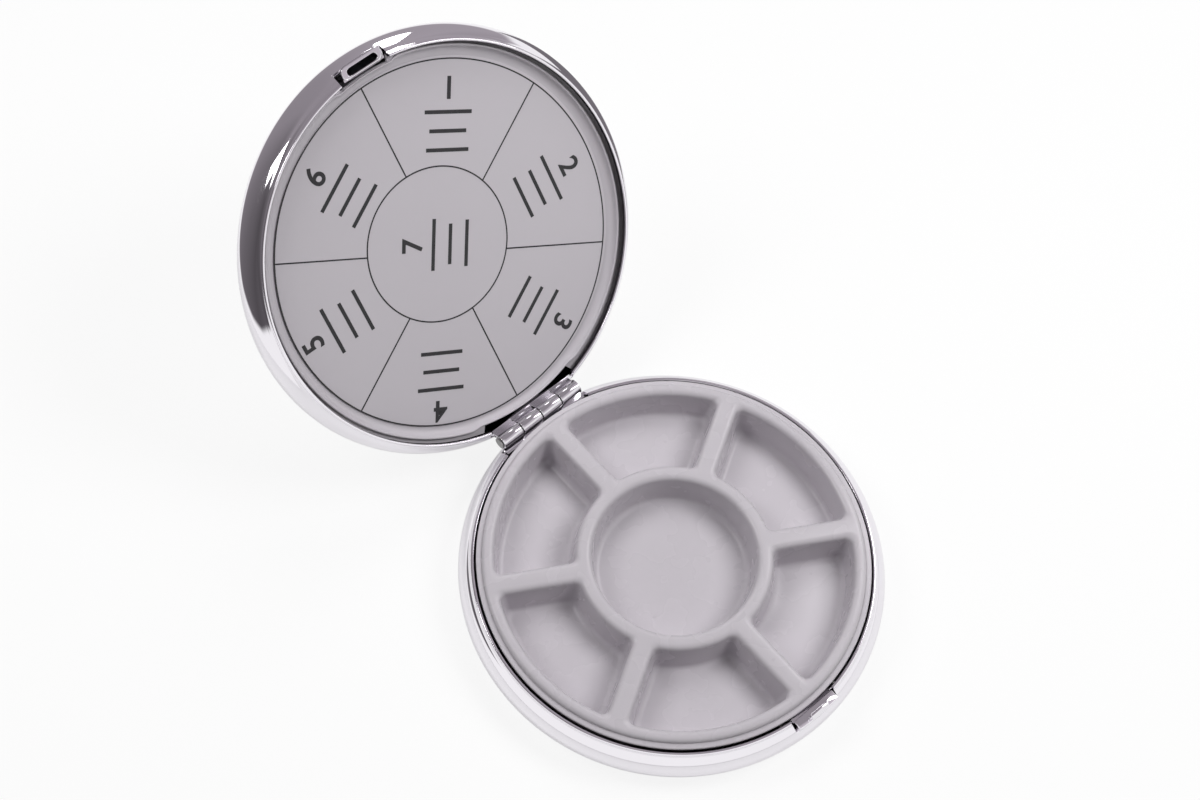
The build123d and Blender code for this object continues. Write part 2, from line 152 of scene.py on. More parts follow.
# The lid's frame starts at its outer face and points into the lid
LID_AXES = np.array([
    (1, 0, 0),
    (0, -cos(OPEN_ANGLE), sin(OPEN_ANGLE)),
    (0, -sin(OPEN_ANGLE), -cos(OPEN_ANGLE)),
])
LID_ORIGIN = np.array([
    0,
    HINGE_Y - HINGE_Y * cos(OPEN_ANGLE) + HALF_HEIGHT * sin(OPEN_ANGLE),
    HALF_HEIGHT + HINGE_Y * sin(OPEN_ANGLE) + HALF_HEIGHT * cos(OPEN_ANGLE),
])


def length_value(name, default, description):
    """A length in metres, shown in the scene's own unit."""
    return FloatProperty(name=name, default=default, description=description, unit="LENGTH", precision=5)


def angle_value(name, default, description):
    """An angle given in degrees and held in radians."""
    return FloatProperty(name=name, default=radians(default), description=description, subtype="ANGLE")


def power_value(name, default, description):
    """A lamp's power in watts."""
    return FloatProperty(name=name, default=default, description=description, unit="POWER")


def share_value(name, default, description):
    """A plain number without a unit."""
    return FloatProperty(name=name, default=default, description=description)


def range_value(name, low, high, description):
    """Two plain numbers, the lowest and the highest."""
    return FloatVectorProperty(name=name, default=(low, high), description=description, size=2)


def colour_value(name, red, green, blue, description):
    """A colour given as sRGB values from 0 to 255 and held as linear light, by the sRGB curve."""
    seen = np.array([red, green, blue]) / 255
    light = np.where(seen <= 0.04045, seen / 12.92, ((seen + 0.055) / 1.055) ** 2.4)
    return FloatVectorProperty(
        name=name, default=tuple(light), description=description, subtype="COLOR", size=3, min=0, max=1
    )


class ShellSizes(bpy.types.PropertyGroup):
    """Sizes of the two pressed shells."""

    side_width: length_value("Side width", 5.0 * MM, "Bulge to the edge of the flat outer face")
    bulge_sink: length_value("Bulge sink", 4.3 * MM, "Bulge below the parting plane")
    curl: length_value("Curl", 4.2 * MM, "Radius of the side from the bulge in to the rim")
    rim_inset: length_value("Rim inset", 2.0 * MM, "Bulge to the rim's outer face")
    base_wall: length_value("Base wall", 0.6 * MM, "Sheet thickness of the base shell")
    lid_wall: length_value("Lid wall", 0.5 * MM, "Sheet thickness of the lid shell")
    lip_round: length_value("Lip rounding", 0.22 * MM, "Rounding of the rim's two edges")
    hinge_notch_depth: length_value("Hinge notch depth", 1.6 * MM, "Notch below the parting plane")
    hinge_notch_gap: length_value("Hinge notch gap", 0.3 * MM, "Notch past each end of the barrel")
    base_latch_depth: length_value("Base latch depth", 1.7 * MM, "Latch notch in the base")
    lid_latch_depth: length_value("Lid latch depth", 2.0 * MM, "Latch notch in the lid")
    latch_half_width: length_value("Latch half width", 4.3 * MM, "Half width of both latch notches")
    notch_round: length_value("Notch rounding", 0.35 * MM, "Width over which a notch's corners turn")


class TraySizes(bpy.types.PropertyGroup):
    """Sizes of the moulded tray."""

    lip_width: length_value("Lip width", 0.7 * MM, "Lower lip round the raised top")
    lip_reach: length_value("Lip reach", 0.2 * MM, "Thin edge of the lip towards the shell")
    lip_ease: length_value("Lip easing", 0.2 * MM, "Rounding of the lip's edges")
    lip_top: length_value("Lip top", 8.9 * MM, "Height of the lip's upper face")
    lip_bottom: length_value("Lip bottom", 8.3 * MM, "Height of the lip's lower face")
    edge_round: length_value("Edge rounding", 0.75 * MM, "Rounding of the raised top's edge")
    border: length_value("Border", 1.9 * MM, "Outer pockets to the raised top's edge")
    pockets: IntProperty(name="Outer pockets", default=6, description="Pockets round the cup")
    cup_radius: length_value("Cup radius", 13.6 * MM, "Mouth of the centre pocket")
    ring_width: length_value("Ring width", 2.4 * MM, "Between the cup and the outer pockets")
    spoke_width: length_value("Spoke width", 3.3 * MM, "Wall between two outer pockets")
    depth: length_value("Pocket depth", 6.3 * MM, "Top of the tray to a pocket's floor")
    draft: angle_value("Draft", 8.0, "Slope of the pocket walls")
    corner: length_value("Corner", 1.15 * MM, "Rounding of a pocket's upright corners")
    corner_least: share_value("Least corner", 0.4, "Lowest share of the corner that may be left")
    corner_blend: share_value("Corner blend", 4, "Corner widths over which it would shrink to none")
    mouth_round: length_value("Mouth rounding", 1.0 * MM, "Rounding of a pocket's mouth")
    floor_round: length_value("Floor rounding", 1.1 * MM, "Rounding between wall and floor")
    floor_sheet: length_value("Floor sheet", 1.0 * MM, "Thickness of the pocket floors")
    foot_width: length_value("Foot width", 1.2 * MM, "Width of the rings that the tray stands on")
    outer_foot: length_value("Outer foot", 5.3 * MM, "Outer pockets' edge to the foot ring below them")
    cup_foot: length_value("Cup foot", 4.6 * MM, "Cup's edge to the foot ring below it")


class LiningSizes(bpy.types.PropertyGroup):
    """Sizes of the lid's lining, its label and the print."""

    edge_gap: length_value("Edge gap", 1.0 * MM, "Lining to the rim's inner face at hinge and catch")
    edge_grow: length_value("Edge grow", 0.55 * MM, "Added to the edge away from hinge and catch")
    grow_blend: length_value("Grow blend", 2 * MM, "Width over which the edge grows")
    cove: length_value("Cove", 1.3 * MM, "Width of the curved edge")
    sink: length_value("Sink", 2.5 * MM, "Flat of the lining below the parting plane")
    edge_sink: length_value("Edge sink", 1.4 * MM, "Edge of the lining below the parting plane")
    sheet: length_value("Sheet", 0.8 * MM, "Thickness of the lining")
    lip: length_value("Lip", 0.3 * MM, "Width of the lining's upper edge")
    bead_rise: length_value("Bead rise", 0.1 * MM, "Bead above the flat")
    bead_sheet: length_value("Bead sheet", 0.5 * MM, "Thickness of the bead that holds the lining")
    bead_gap: length_value("Bead gap", 0.08 * MM, "Bead to the shell's inner face")
    bead_hinge_gap: length_value("Bead at hinge", 0.8 * MM, "Bead to each end of the barrel")
    bead_catch_gap: length_value("Bead at catch", 0.1 * MM, "Bead to each end of the catch's notch")
    bead_step: length_value("Bead step", 0.05 * MM, "Bead past the edge beside hinge and catch")
    label_sheet: length_value("Label sheet", 0.15 * MM, "Thickness of the printed label")
    ink: length_value("Ink", 0.02 * MM, "Height of the print above the label")
    line_width: length_value("Line width", 0.24 * MM, "Width of the chart's lines")
    outer_circle: length_value("Outer circle", 29.75 * MM, "Radius of the chart's outer circle")
    outer_shift_x: length_value("Outer shift across", -0.3 * MM, "Outer circle's centre along X")
    outer_shift_y: length_value("Outer shift along", 0.0, "Outer circle's centre along Y")
    inner_circle: length_value("Inner circle", 12.6 * MM, "Radius of the chart's inner circle")
    inner_shift_x: length_value("Inner shift across", -1.44 * MM, "Inner circle's centre along X")
    inner_shift_y: length_value("Inner shift along", 0.95 * MM, "Inner circle's centre along Y")
    hub_x: length_value("Hub across", -1.15 * MM, "Where the spokes meet, along the hinge")
    hub_y: length_value("Hub along", -0.8 * MM, "Where the spokes meet, towards the latch")
    digit_height: length_value("Digit height", 3.7 * MM, "Height of the day numbers")
    digit_weight: length_value("Digit weight", 0.09 * MM, "Added to each side of a number's strokes")
    rule_width: length_value("Rule width", 0.62 * MM, "Thickness of the ruled lines")
    rule_pitch: length_value("Rule pitch", 3.0 * MM, "Spacing of the ruled lines")
    block_radius: length_value("Block radius", 21.6 * MM, "Middle of a day's block from the hub")


class HingeSizes(bpy.types.PropertyGroup):
    """Sizes of the two hinge leaves."""

    knuckle_radius: length_value("Knuckle radius", 1.25 * MM, "Outer radius of the rolled knuckles")
    knuckle_gap: length_value("Knuckle gap", 0.2 * MM, "Between two knuckles")
    sheet: length_value("Sheet", 0.55 * MM, "Thickness of the rolled strip")
    roll_end: angle_value("Roll end", -158, "Where the rolled strip ends round the pin")
    shelf_in: length_value("Shelf inner edge", 31.8 * MM, "Inner edge of the shelf over the rim's notch")
    shelf_sheet: length_value("Shelf sheet", 0.45 * MM, "Thickness of the shelf")
    notch_height: length_value("Shelf height", 6.9 * MM, "Height of the shelf's lower face")
    plate_half: length_value("Plate half width", 7.0 * MM, "Half width of the plate inside the shell")
    plate_low: length_value("Plate low edge", 3.6 * MM, "Lower edge of the plate inside the shell")
    plate_sheet: length_value("Plate sheet", 0.5 * MM, "Thickness of the plate inside the shell")
    edge_round: length_value("Edge rounding", 0.1 * MM, "Rounding of the strip's cut edges")


class LatchSizes(bpy.types.PropertyGroup):
    """Sizes of the catch and the small latch parts."""

    inner: length_value("Ring inner face", 32.5 * MM, "Inner face of the slotted ring")
    outer: length_value("Ring outer face", 34.8 * MM, "Outer face of the slotted ring")
    corner: length_value("Ring corner", 1.0 * MM, "Rounding of the ring's four corners")
    slot_flat: length_value("Slot flat", 0.02 * MM, "Straight part at each end of the slot")
    slot_inner: length_value("Slot inner face", 32.95 * MM, "Inner face of the slot")
    slot_outer: length_value("Slot outer face", 34.2 * MM, "Outer face of the slot")
    slot_half: length_value("Slot half width", 2.8 * MM, "Half width of the slot")
    ring_spread: length_value("Ring spread", 0.5 * MM, "Ring and stem past each side of the packed catch")
    low: length_value("Ring low face", 7.9 * MM, "Lower face of the ring")
    high: length_value("Ring high face", 8.35 * MM, "Upper face of the ring")
    foot: length_value("Foot height", 5.0 * MM, "Foot of the stem on the shell's wall")
    edge_round: length_value("Edge rounding", 0.14 * MM, "Rounding of the small parts' edges")


class FinishColours(bpy.types.PropertyGroup):
    """Colours of the finishes."""

    chrome: colour_value("Chrome", 240, 237, 242, "Polished plating of the shells")
    # The inner faces' colours are darker than the dull sheet alone would be: painted shade for the dark
    # gaps between rim, tray and lining, with the lid's the darkest
    base_inside: colour_value("Base inside", 160, 156, 161, "Unpolished inner face of the base shell")
    lid_inside: colour_value("Lid inside", 96, 93, 97, "Unpolished inner face of the lid shell")
    hinge: colour_value("Hinge", 228, 226, 230, "Plated hinge leaves and catch")
    steel: colour_value("Steel", 168, 167, 166, "Spring steel inside the latch")
    tray: colour_value("Tray", 196, 191, 197, "Moulded tray")
    lining: colour_value("Lining", 197, 192, 198, "Moulded lining of the lid")
    label: colour_value("Label", 205, 200, 206, "Label film")
    ink: colour_value("Ink", 28, 27, 29, "Print on the label")
    floor: colour_value("Floor", 250, 250, 250, "Studio floor")


class FinishTextures(bpy.types.PropertyGroup):
    """Roughness, grain and relief of the finishes."""

    chrome_rough: range_value("Chrome roughness", 0.03, 0.07, "Polished plating of the shells")
    hinge_rough: range_value("Hinge roughness", 0.07, 0.13, "Plated hinge leaves and catch")
    steel_rough: range_value("Steel roughness", 0.25, 0.38, "Spring steel")
    inside_rough: range_value("Inside roughness", 0.38, 0.5, "Unpolished inner faces")
    tray_rough: range_value("Tray roughness", 0.24, 0.3, "Moulded tray")
    lining_rough: range_value("Lining roughness", 0.3, 0.42, "Moulded lining")
    label_rough: range_value("Label roughness", 0.3, 0.38, "Label film")
    ink_rough: share_value("Ink roughness", 0.55, "Print on the label")
    floor_rough: share_value("Floor roughness", 0.9, "Studio floor")
    smudge_grain: length_value("Smudge grain", 6 * MM, "Size of the smudges on the plating")
    plating_grain: length_value("Plating grain", 14 * MM, "Size of the plating's changes of tone")
    ripple_grain: length_value("Ripple grain", 2.5 * MM, "Size of the plating's ripples")
    streak_grain: length_value("Streak grain", 1.5 * MM, "Width of the streaks inside the shells")
    tone_grain: length_value("Tone grain", 11 * MM, "Size of the plastic's changes of tone")
    gloss_grain: length_value("Gloss grain", 5 * MM, "Size of the plastic's changes of gloss")
    wave_grain: length_value("Wave grain", 4 * MM, "Size of the plastic's waves")
    ink_grain: length_value("Ink grain", 0.5 * MM, "Size of the ink's changes of tone")
    floor_grain: length_value("Floor grain", 0.3, "Size of the floor's changes of tone")
    relief: length_value("Relief", 0.02 * MM, "Depth of ripples and waves at full strength")
    plating_dark: share_value("Plating dark", 0.96, "Share of the plating's colour where it is darkest")
    inside_dark: share_value("Inside dark", 0.75, "Share of an inner face's colour in its streaks")
    inside_edge: share_value("Inside edge", 0.9, "Share of an inner face's colour at low angles")
    tone_spread: share_value("Tone spread", 0.012, "Rise and fall of the plastic's tone")
    ink_thin: share_value("Thin ink", 2.2, "Brightness of thin ink against full ink")
    floor_dark: share_value("Floor dark", 0.98, "Share of the floor's colour where it is darkest")
    # Painted light: the lid's inner face turns to the plating's colour round the catch, where the slot
    # lies in shade
    spot_near: length_value("Bright spot", 7 * MM, "Clean all over this near to the catch")
    spot_far: length_value("Bright spot end", 12 * MM, "Not clean any more this far from the catch")


class StudioSettings(bpy.types.PropertyGroup):
    """Camera and light."""

    camera_x: length_value("Camera X", -105.59 * MM, "Camera place")
    camera_y: length_value("Camera Y", -77.03 * MM, "Camera place")
    camera_z: length_value("Camera Z", 316.53 * MM, "Camera place")
    tilt: angle_value("Tilt", 26.798, "Camera turn about X")
    roll: angle_value("Roll", -3.101, "Camera turn about Y")
    heading: angle_value("Heading", -41.174, "Camera turn about Z")
    lens: FloatProperty(
        name="Lens", default=61.775, description="Focal length on a 36 mm wide sensor", unit="CAMERA"
    )
    aim: share_value("Aim", 0.7, "Middle of lamps and cards, as a share of the way to the hinge")
    right_power: power_value("Right power", 0.88, "Soft light on the right")
    right_turn: angle_value("Right turn", -36, "Direction of the light on the right")
    left_power: power_value("Left power", 0.56, "Soft light on the left")
    left_turn: angle_value("Left turn", 132, "Direction of the light on the left")
    back_power: power_value("Back power", 0.4, "Soft light behind")
    back_turn: angle_value("Back turn", 49, "Direction of the light behind")
    lamp_size: length_value("Lamp size", 190 * MM, "Width of the three soft lights")
    lamp_reach: length_value("Lamp reach", 245 * MM, "Soft lights to the box, along the floor")
    lamp_height: length_value("Lamp height", 330 * MM, "Soft lights above the floor")
    fill: share_value("Fill", 0.1, "Strength of the surrounding light")
    glow: share_value("Floor glow", 0.85, "Share of the floor's white that does not depend on the lamps")
    mirrored: share_value("Mirrored glow", 0.45, "Share of the glow left in the metal's mirror image")
    floor_half: length_value("Floor half width", 3.0, "Half width of the floor")
    card_radius: length_value("Card radius", 105 * MM, "Reflection cards to the box's middle")
    card_top: length_value("Card top", 420 * MM, "Upper edge of the reflection cards")
    card_low: length_value("Card foot", 10 * MM, "Lower end of the reflection cards")
    card_columns: IntProperty(name="Card columns", default=321, description="Points round the cards")
    card_rows: IntProperty(name="Card rows", default=240, description="Points up the cards")
    roof_columns: IntProperty(name="Roof columns", default=96, description="Points round the roof")
    roof_hole: length_value("Roof hole", 1 * MM, "Radius of the hole in the roof's middle")
    roof_start: length_value("Roof blend start", 150 * MM, "Height where the tone turns to the roof's")
    roof_blend: length_value("Roof blend", 120 * MM, "Height over which it turns")
    card_fade: length_value("Card fade", 8 * MM, "Height over which the cards' lower edge fades in")
    card_roof: share_value("Card roof", 0.31, "Tone of the card overhead")
    card_tint: colour_value("Card tint", 255, 246, 255, "Tint of the grey cards")
    side_card: length_value("Side card", 68 * MM, "Dark card on the right to the box's middle line")
    side_start: length_value("Side card start", 12 * MM, "Front end of the dark card")
    side_end: length_value("Side card end", 100 * MM, "Back end of the dark card")
    side_top: length_value("Side card top", 42 * MM, "Height of the dark card")
    side_tone: share_value("Side card tone", 0.19, "Tone of the dark card")
    strip_light: share_value("Strip brightness", 5.0, "Brightness of the strip lights")
    strip_width: length_value("Strip width", 20 * MM, "Width of the strip lights")
    strip_radius: length_value("Strip radius", 98 * MM, "Strip lights to the box's middle")


class PillBoxSettings(bpy.types.PropertyGroup):
    """All sizes and colours of the pill box."""

    shell: PointerProperty(type=ShellSizes, name="Shells", description="Shell sizes")
    tray: PointerProperty(type=TraySizes, name="Tray", description="Tray sizes")
    lining: PointerProperty(type=LiningSizes, name="Lining", description="Lining and label sizes")
    hinge: PointerProperty(type=HingeSizes, name="Hinge", description="Hinge sizes")
    latch: PointerProperty(type=LatchSizes, name="Latch", description="Latch sizes")
    colours: PointerProperty(type=FinishColours, name="Colours", description="Finish colours")
    textures: PointerProperty(type=FinishTextures, name="Textures", description="Finish textures")
    studio: PointerProperty(type=StudioSettings, name="Studio", description="Camera and light")


def settings():
    """The scene's pill box settings."""
    return bpy.context.scene.pill_box


# Shapes


def arc(centre, radii, start, end, count):
    """Points of an ellipse's arc in a section: centre plus each radius times the cosine and the
    sine of evenly spaced angles, in degrees."""
    turn = np.radians(np.linspace(start, end, count))
    return np.stack([centre[0] + radii[0] * np.cos(turn), centre[1] + radii[1] * np.sin(turn)], -1)


def straight(start, end, count):
    """Evenly spaced points from start to end."""
    share = np.linspace(0, 1, count)[:, None]
    return np.array(start) * (1 - share) + np.array(end) * share


def smooth(share):
    """The smooth step 3t2 - 2t3 of a share, which is first held between 0 and 1."""
    share = np.clip(share, 0, 1)
    return share * share * (3 - 2 * share)


def turned(radii, heights, angles):
    """A section carried round the upright axis: x is the radius times the angle's cosine, y is
    the radius times its sine. The result is a grid, one column for each angle."""
    shape = (len(angles), np.shape(radii)[-1])
    radii = np.broadcast_to(radii, shape)
    heights = np.broadcast_to(heights, shape)
    turn = np.asarray(angles)[:, None]
    return np.stack([radii * np.cos(turn), radii * np.sin(turn), heights], -1)


def grid_faces(columns, rows, round_columns=True, round_rows=False):
    """Four-sided faces between neighbours of a grid whose points are numbered column by column."""
    column = np.arange(columns if round_columns else columns - 1)
    row = np.arange(rows if round_rows else rows - 1)
    column, row = np.meshgrid(column, row, indexing="ij")
    next_column = (column + 1) % columns
    next_row = (row + 1) % rows
    corners = [column * rows + row, next_column * rows + row,
               next_column * rows + next_row, column * rows + next_row]
    return np.stack(corners, -1).reshape(-1, 4).tolist()


def fan_faces(ring, pole):
    """Triangles from each pair of neighbours on a closed ring to one pole."""
    ring = np.asarray(ring)
    return np.stack([ring, np.roll(ring, -1), np.full(len(ring), pole)], -1).tolist()


def poled_surface(grid, first_pole, last_pole):
    """A grid that closes round its columns, with its first and last rows drawn in to poles."""
    columns, rows = grid.shape[:2]
    points = np.concatenate([grid.reshape(-1, 3), [first_pole], [last_pole]])
    faces = grid_faces(columns, rows)
    faces += fan_faces(np.arange(columns) * rows, columns * rows)
    faces += fan_faces(np.arange(columns) * rows + rows - 1, columns * rows + 1)
    return points, faces


def dished_surface(grid, middle):
    """A grid that closes round its columns, with its last row drawn in to one middle point."""
    columns, rows = grid.shape[:2]
    points = np.concatenate([grid.reshape(-1, 3), [middle]])
    faces = grid_faces(columns, rows)
    return points, faces + fan_faces(np.arange(columns) * rows + rows - 1, columns * rows)


def merged(surfaces):
    """Several surfaces as one list of points and one of faces."""
    points, faces, offset = [], [], 0
    for part_points, part_faces in surfaces:
        points.append(np.asarray(part_points).reshape(-1, 3))
        faces += [[corner + offset for corner in face] for face in part_faces]
        offset += len(points[-1])
    return np.concatenate(points), faces


def block(low, high):
    """A box between two corners."""
    corners = np.array(np.meshgrid(*zip(low, high), indexing="ij")).reshape(3, -1).T
    faces = [[0, 1, 3, 2], [4, 6, 7, 5], [0, 4, 5, 1], [2, 3, 7, 6], [0, 2, 6, 4], [1, 5, 7, 3]]
    return corners, faces


def in_lid(points):
    """Points of the lid's own frame, placed in the open pose: the origin plus each coordinate
    times its axis."""
    return LID_ORIGIN + np.asarray(points) @ LID_AXES


def linked(name, data):
    """A new object for a mesh, a curve, a lamp or a camera, linked to the scene."""
    item = bpy.data.objects.new(name, data)
    bpy.context.scene.collection.objects.link(item)
    return item


def make_piece(name, surface, material, sharp_angle=35, inner=None, inner_faces=None):
    """A closed mesh object from points and faces: doubles merged, faces turned outwards, shaded
    smooth except across edges sharper than the angle. The faces marked as inner ones take the
    inner material."""
    points, faces = surface
    mesh = bpy.data.meshes.new(name)
    mesh.from_pydata(np.asarray(points).tolist(), [], faces)
    if inner:
        mesh.polygons.foreach_set("material_index", np.asarray(inner_faces, np.int32))
    work = bmesh.new()
    work.from_mesh(mesh)
    bmesh.ops.remove_doubles(work, verts=work.verts, dist=1e-7)
    bmesh.ops.recalc_face_normals(work, faces=work.faces)
    work.to_mesh(mesh)
    work.free()
    mesh.polygons.foreach_set("use_smooth", [True] * len(mesh.polygons))
    mesh.set_sharp_from_angle(angle=radians(sharp_angle))
    mesh.materials.append(material)
    if inner:
        mesh.materials.append(inner)
    return linked(name, mesh)


def eased_copy(node, name, material, width, angle=30):
    """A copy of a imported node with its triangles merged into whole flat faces. Its edges that are
    sharper than the angle are rounded."""
    mesh = frame["nodes"][node].data.copy()
    mesh.name = name
    work = bmesh.new()
    work.from_mesh(mesh)
    bmesh.ops.remove_doubles(work, verts=work.verts, dist=1e-6)
    bmesh.ops.dissolve_limit(work, angle_limit=radians(1), verts=work.verts, edges=work.edges)
    work.to_mesh(mesh)
    work.free()
    mesh.polygons.foreach_set("use_smooth", [True] * len(mesh.polygons))
    mesh.materials.clear()
    mesh.materials.append(material)
    piece = linked(name, mesh)
    bevel = piece.modifiers.new("Eased edges", "BEVEL")
    bevel.limit_method = "ANGLE"
    bevel.angle_limit = radians(angle)
    bevel.width = width
    bevel.segments = 2
    bevel.harden_normals = True
    return piece


# Finishes


def new_finish(name):
    """A new material with a surface shader: the material, its nodes, its links and the shader."""
    material = bpy.data.materials.new(name)
    material.use_nodes = True
    nodes = material.node_tree.nodes
    shader = next(node for node in nodes if node.type == "BSDF_PRINCIPLED")
    return material, nodes, material.node_tree.links, shader


def grain(nodes, links, size, detail=3.0, stretch=(1, 1, 1)):
    """Noise on Object coordinates whose grains are about the given size in metres."""
    place = nodes.new("ShaderNodeTexCoord")
    scale = nodes.new("ShaderNodeMapping")
    scale.inputs["Scale"].default_value = stretch
    noise = nodes.new("ShaderNodeTexNoise")
    noise.inputs["Scale"].default_value = 1 / size
    noise.inputs["Detail"].default_value = detail
    links.new(place.outputs["Object"], scale.inputs["Vector"])
    links.new(scale.outputs["Vector"], noise.inputs["Vector"])
    return noise.outputs["Fac"]


def ranged(nodes, links, value, low, high, source=(0.25, 0.75)):
    """A value from one range carried to another: evenly if the first range starts at 0, or else
    with soft ends."""
    change = nodes.new("ShaderNodeMapRange")
    change.interpolation_type = "SMOOTHSTEP" if source[0] else "LINEAR"
    change.inputs["From Min"].default_value = source[0]
    change.inputs["From Max"].default_value = source[1]
    change.inputs["To Min"].default_value = low
    change.inputs["To Max"].default_value = high
    links.new(value, change.inputs["Value"])
    return change.outputs["Result"]


def scaled(colour, share):
    """A colour times a share, up to white."""
    return [min(1, share * part) for part in colour]


def tinted(nodes, links, factor, first, second):
    """A colour between two, by a factor. The first may also be another node's output."""
    mix = nodes.new("ShaderNodeMix")
    mix.data_type = "RGBA"
    if isinstance(first, bpy.types.NodeSocket):
        links.new(first, mix.inputs["A"])
    else:
        mix.inputs["A"].default_value = (*first, 1)
    mix.inputs["B"].default_value = (*second, 1)
    links.new(factor, mix.inputs["Factor"])
    return mix.outputs["Result"]


def bumped(nodes, links, shader, height, strength):
    """Relief on the shader from a height."""
    bump = nodes.new("ShaderNodeBump")
    bump.inputs["Strength"].default_value = strength
    bump.inputs["Distance"].default_value = settings().textures.relief
    links.new(height, bump.inputs["Height"])
    links.new(bump.outputs["Normal"], shader.inputs["Normal"])


def metal_finish(name, colour, rough, ripple=0.02):
    """Plated metal: a clear reflection broken by faint smudges and polishing ripple. Pieces that
    ask for the same name share one material."""
    known = bpy.data.materials.get(name)
    if known:
        return known
    material, nodes, links, shader = new_finish(name)
    values = settings().textures
    shader.inputs["Metallic"].default_value = 1.0
    smudge = grain(nodes, links, values.smudge_grain, detail=5)
    links.new(ranged(nodes, links, smudge, *rough), shader.inputs["Roughness"])
    patches = grain(nodes, links, values.plating_grain, detail=2)
    plating = tinted(nodes, links, patches, scaled(colour, values.plating_dark), colour)
    links.new(plating, shader.inputs["Base Color"])
    bumped(nodes, links, shader, grain(nodes, links, values.ripple_grain, detail=2), ripple)
    return material


def inside_finish(name, colour, painted_light_spot=None):
    """Unpolished sheet on the inside of a shell: dull, dark at every angle as painted shade for the dark
    gaps along the rim, and slightly streaked by the press. Round the painted light spot near the catch it
    takes the plating's colour instead, a painted light where the slot lies in shade."""
    material, nodes, links, shader = new_finish(name)
    values = settings().textures
    shader.inputs["Metallic"].default_value = 1.0
    shader.inputs["Specular Tint"].default_value = (*scaled(colour, values.inside_edge), 1)
    streaks = grain(nodes, links, values.streak_grain, detail=4, stretch=(1, 1, 0.2))
    sheet = tinted(nodes, links, streaks, scaled(colour, values.inside_dark), colour)
    # Painted light round the catch: the inner face turns to the plating's colour near it, where the slot
    # lies in shade
    if painted_light_spot:
        place = nodes.new("ShaderNodeTexCoord")
        reach = nodes.new("ShaderNodeVectorMath")
        reach.operation = "DISTANCE"
        reach.inputs[1].default_value = painted_light_spot
        links.new(place.outputs["Object"], reach.inputs[0])
        edges = (values.spot_near, values.spot_far)
        near = ranged(nodes, links, reach.outputs["Value"], 1, 0, source=edges)
        sheet = tinted(nodes, links, near, sheet, settings().colours.chrome)
    links.new(sheet, shader.inputs["Base Color"])
    links.new(ranged(nodes, links, streaks, *values.inside_rough), shader.inputs["Roughness"])
    return material


def plastic_finish(name, colour, rough, texture=0.08):
    """Moulded plastic: satin, with the faint waviness of a moulding and a slight unevenness of
    tone."""
    material, nodes, links, shader = new_finish(name)
    values = settings().textures
    deeper, paler = scaled(colour, 1 - values.tone_spread), scaled(colour, 1 + values.tone_spread)
    tone = tinted(nodes, links, grain(nodes, links, values.tone_grain), deeper, paler)
    links.new(tone, shader.inputs["Base Color"])
    gloss = grain(nodes, links, values.gloss_grain, detail=2)
    links.new(ranged(nodes, links, gloss, *rough), shader.inputs["Roughness"])
    bumped(nodes, links, shader, grain(nodes, links, values.wave_grain, detail=1), texture)
    return material


def ink_finish(name, colour):
    """Printed ink: nearly black, slightly uneven and a little matt."""
    material, nodes, links, shader = new_finish(name)
    values = settings().textures
    uneven = grain(nodes, links, values.ink_grain)
    tone = tinted(nodes, links, uneven, colour, scaled(colour, values.ink_thin))
    links.new(tone, shader.inputs["Base Color"])
    shader.inputs["Roughness"].default_value = values.ink_rough
    return material


def chrome():
    """Mirror plating of the shells."""
    values = settings()
    return metal_finish("polished_plating", values.colours.chrome, values.textures.chrome_rough)


def hinge_plating():
    """Plating of the leaves and the catch, a little less even than the shells'."""
    values = settings()
    return metal_finish("hinge_plating", values.colours.hinge, values.textures.hinge_rough)


def steel():
    """Bare spring steel."""
    values = settings()
    return metal_finish("spring_steel", values.colours.steel, values.textures.steel_rough, ripple=0.12)


# Shells


def notch_list(sizes, hinge_side, latch_depth):
    """Facing angle, half width and floor height of a shell's two notches."""
    return (
        (hinge_side, BARREL_HALF + sizes.hinge_notch_gap, HALF_HEIGHT - sizes.hinge_notch_depth),
        (hinge_side + pi, sizes.latch_half_width, HALF_HEIGHT - latch_depth),
    )


def shell_angles(sizes, notches, rim_radius):
    """Angles round a shell: an even spread, with more where a notch's ends rise."""
    even = np.linspace(0, 2 * pi, SHELL_STEPS, endpoint=False)
    close = []
    for facing, half_width, _ in notches:
        rise = np.arcsin((half_width + sizes.notch_round * np.linspace(0, 1, 9)) / rim_radius)
        close += [facing + rise, facing - rise]
    angles = np.concatenate([even, *close]) % (2 * pi)
    return np.unique(np.round(angles, 6))


def rim_heights(sizes, notches, rim_radius, angles):
    """Height of the rim round a shell: the full height, and inside each notch the notch's floor.
    Between them it follows the smooth step 3t2 - 2t3."""
    heights = np.full(len(angles), RIM_HEIGHT)
    for facing, half_width, floor in notches:
        across = np.abs(rim_radius * np.sin(angles - facing))
        share = np.where(np.cos(angles - facing) > 0, (across - half_width) / sizes.notch_round, 1)
        heights = floor + (heights - floor) * smooth(share)
    return heights


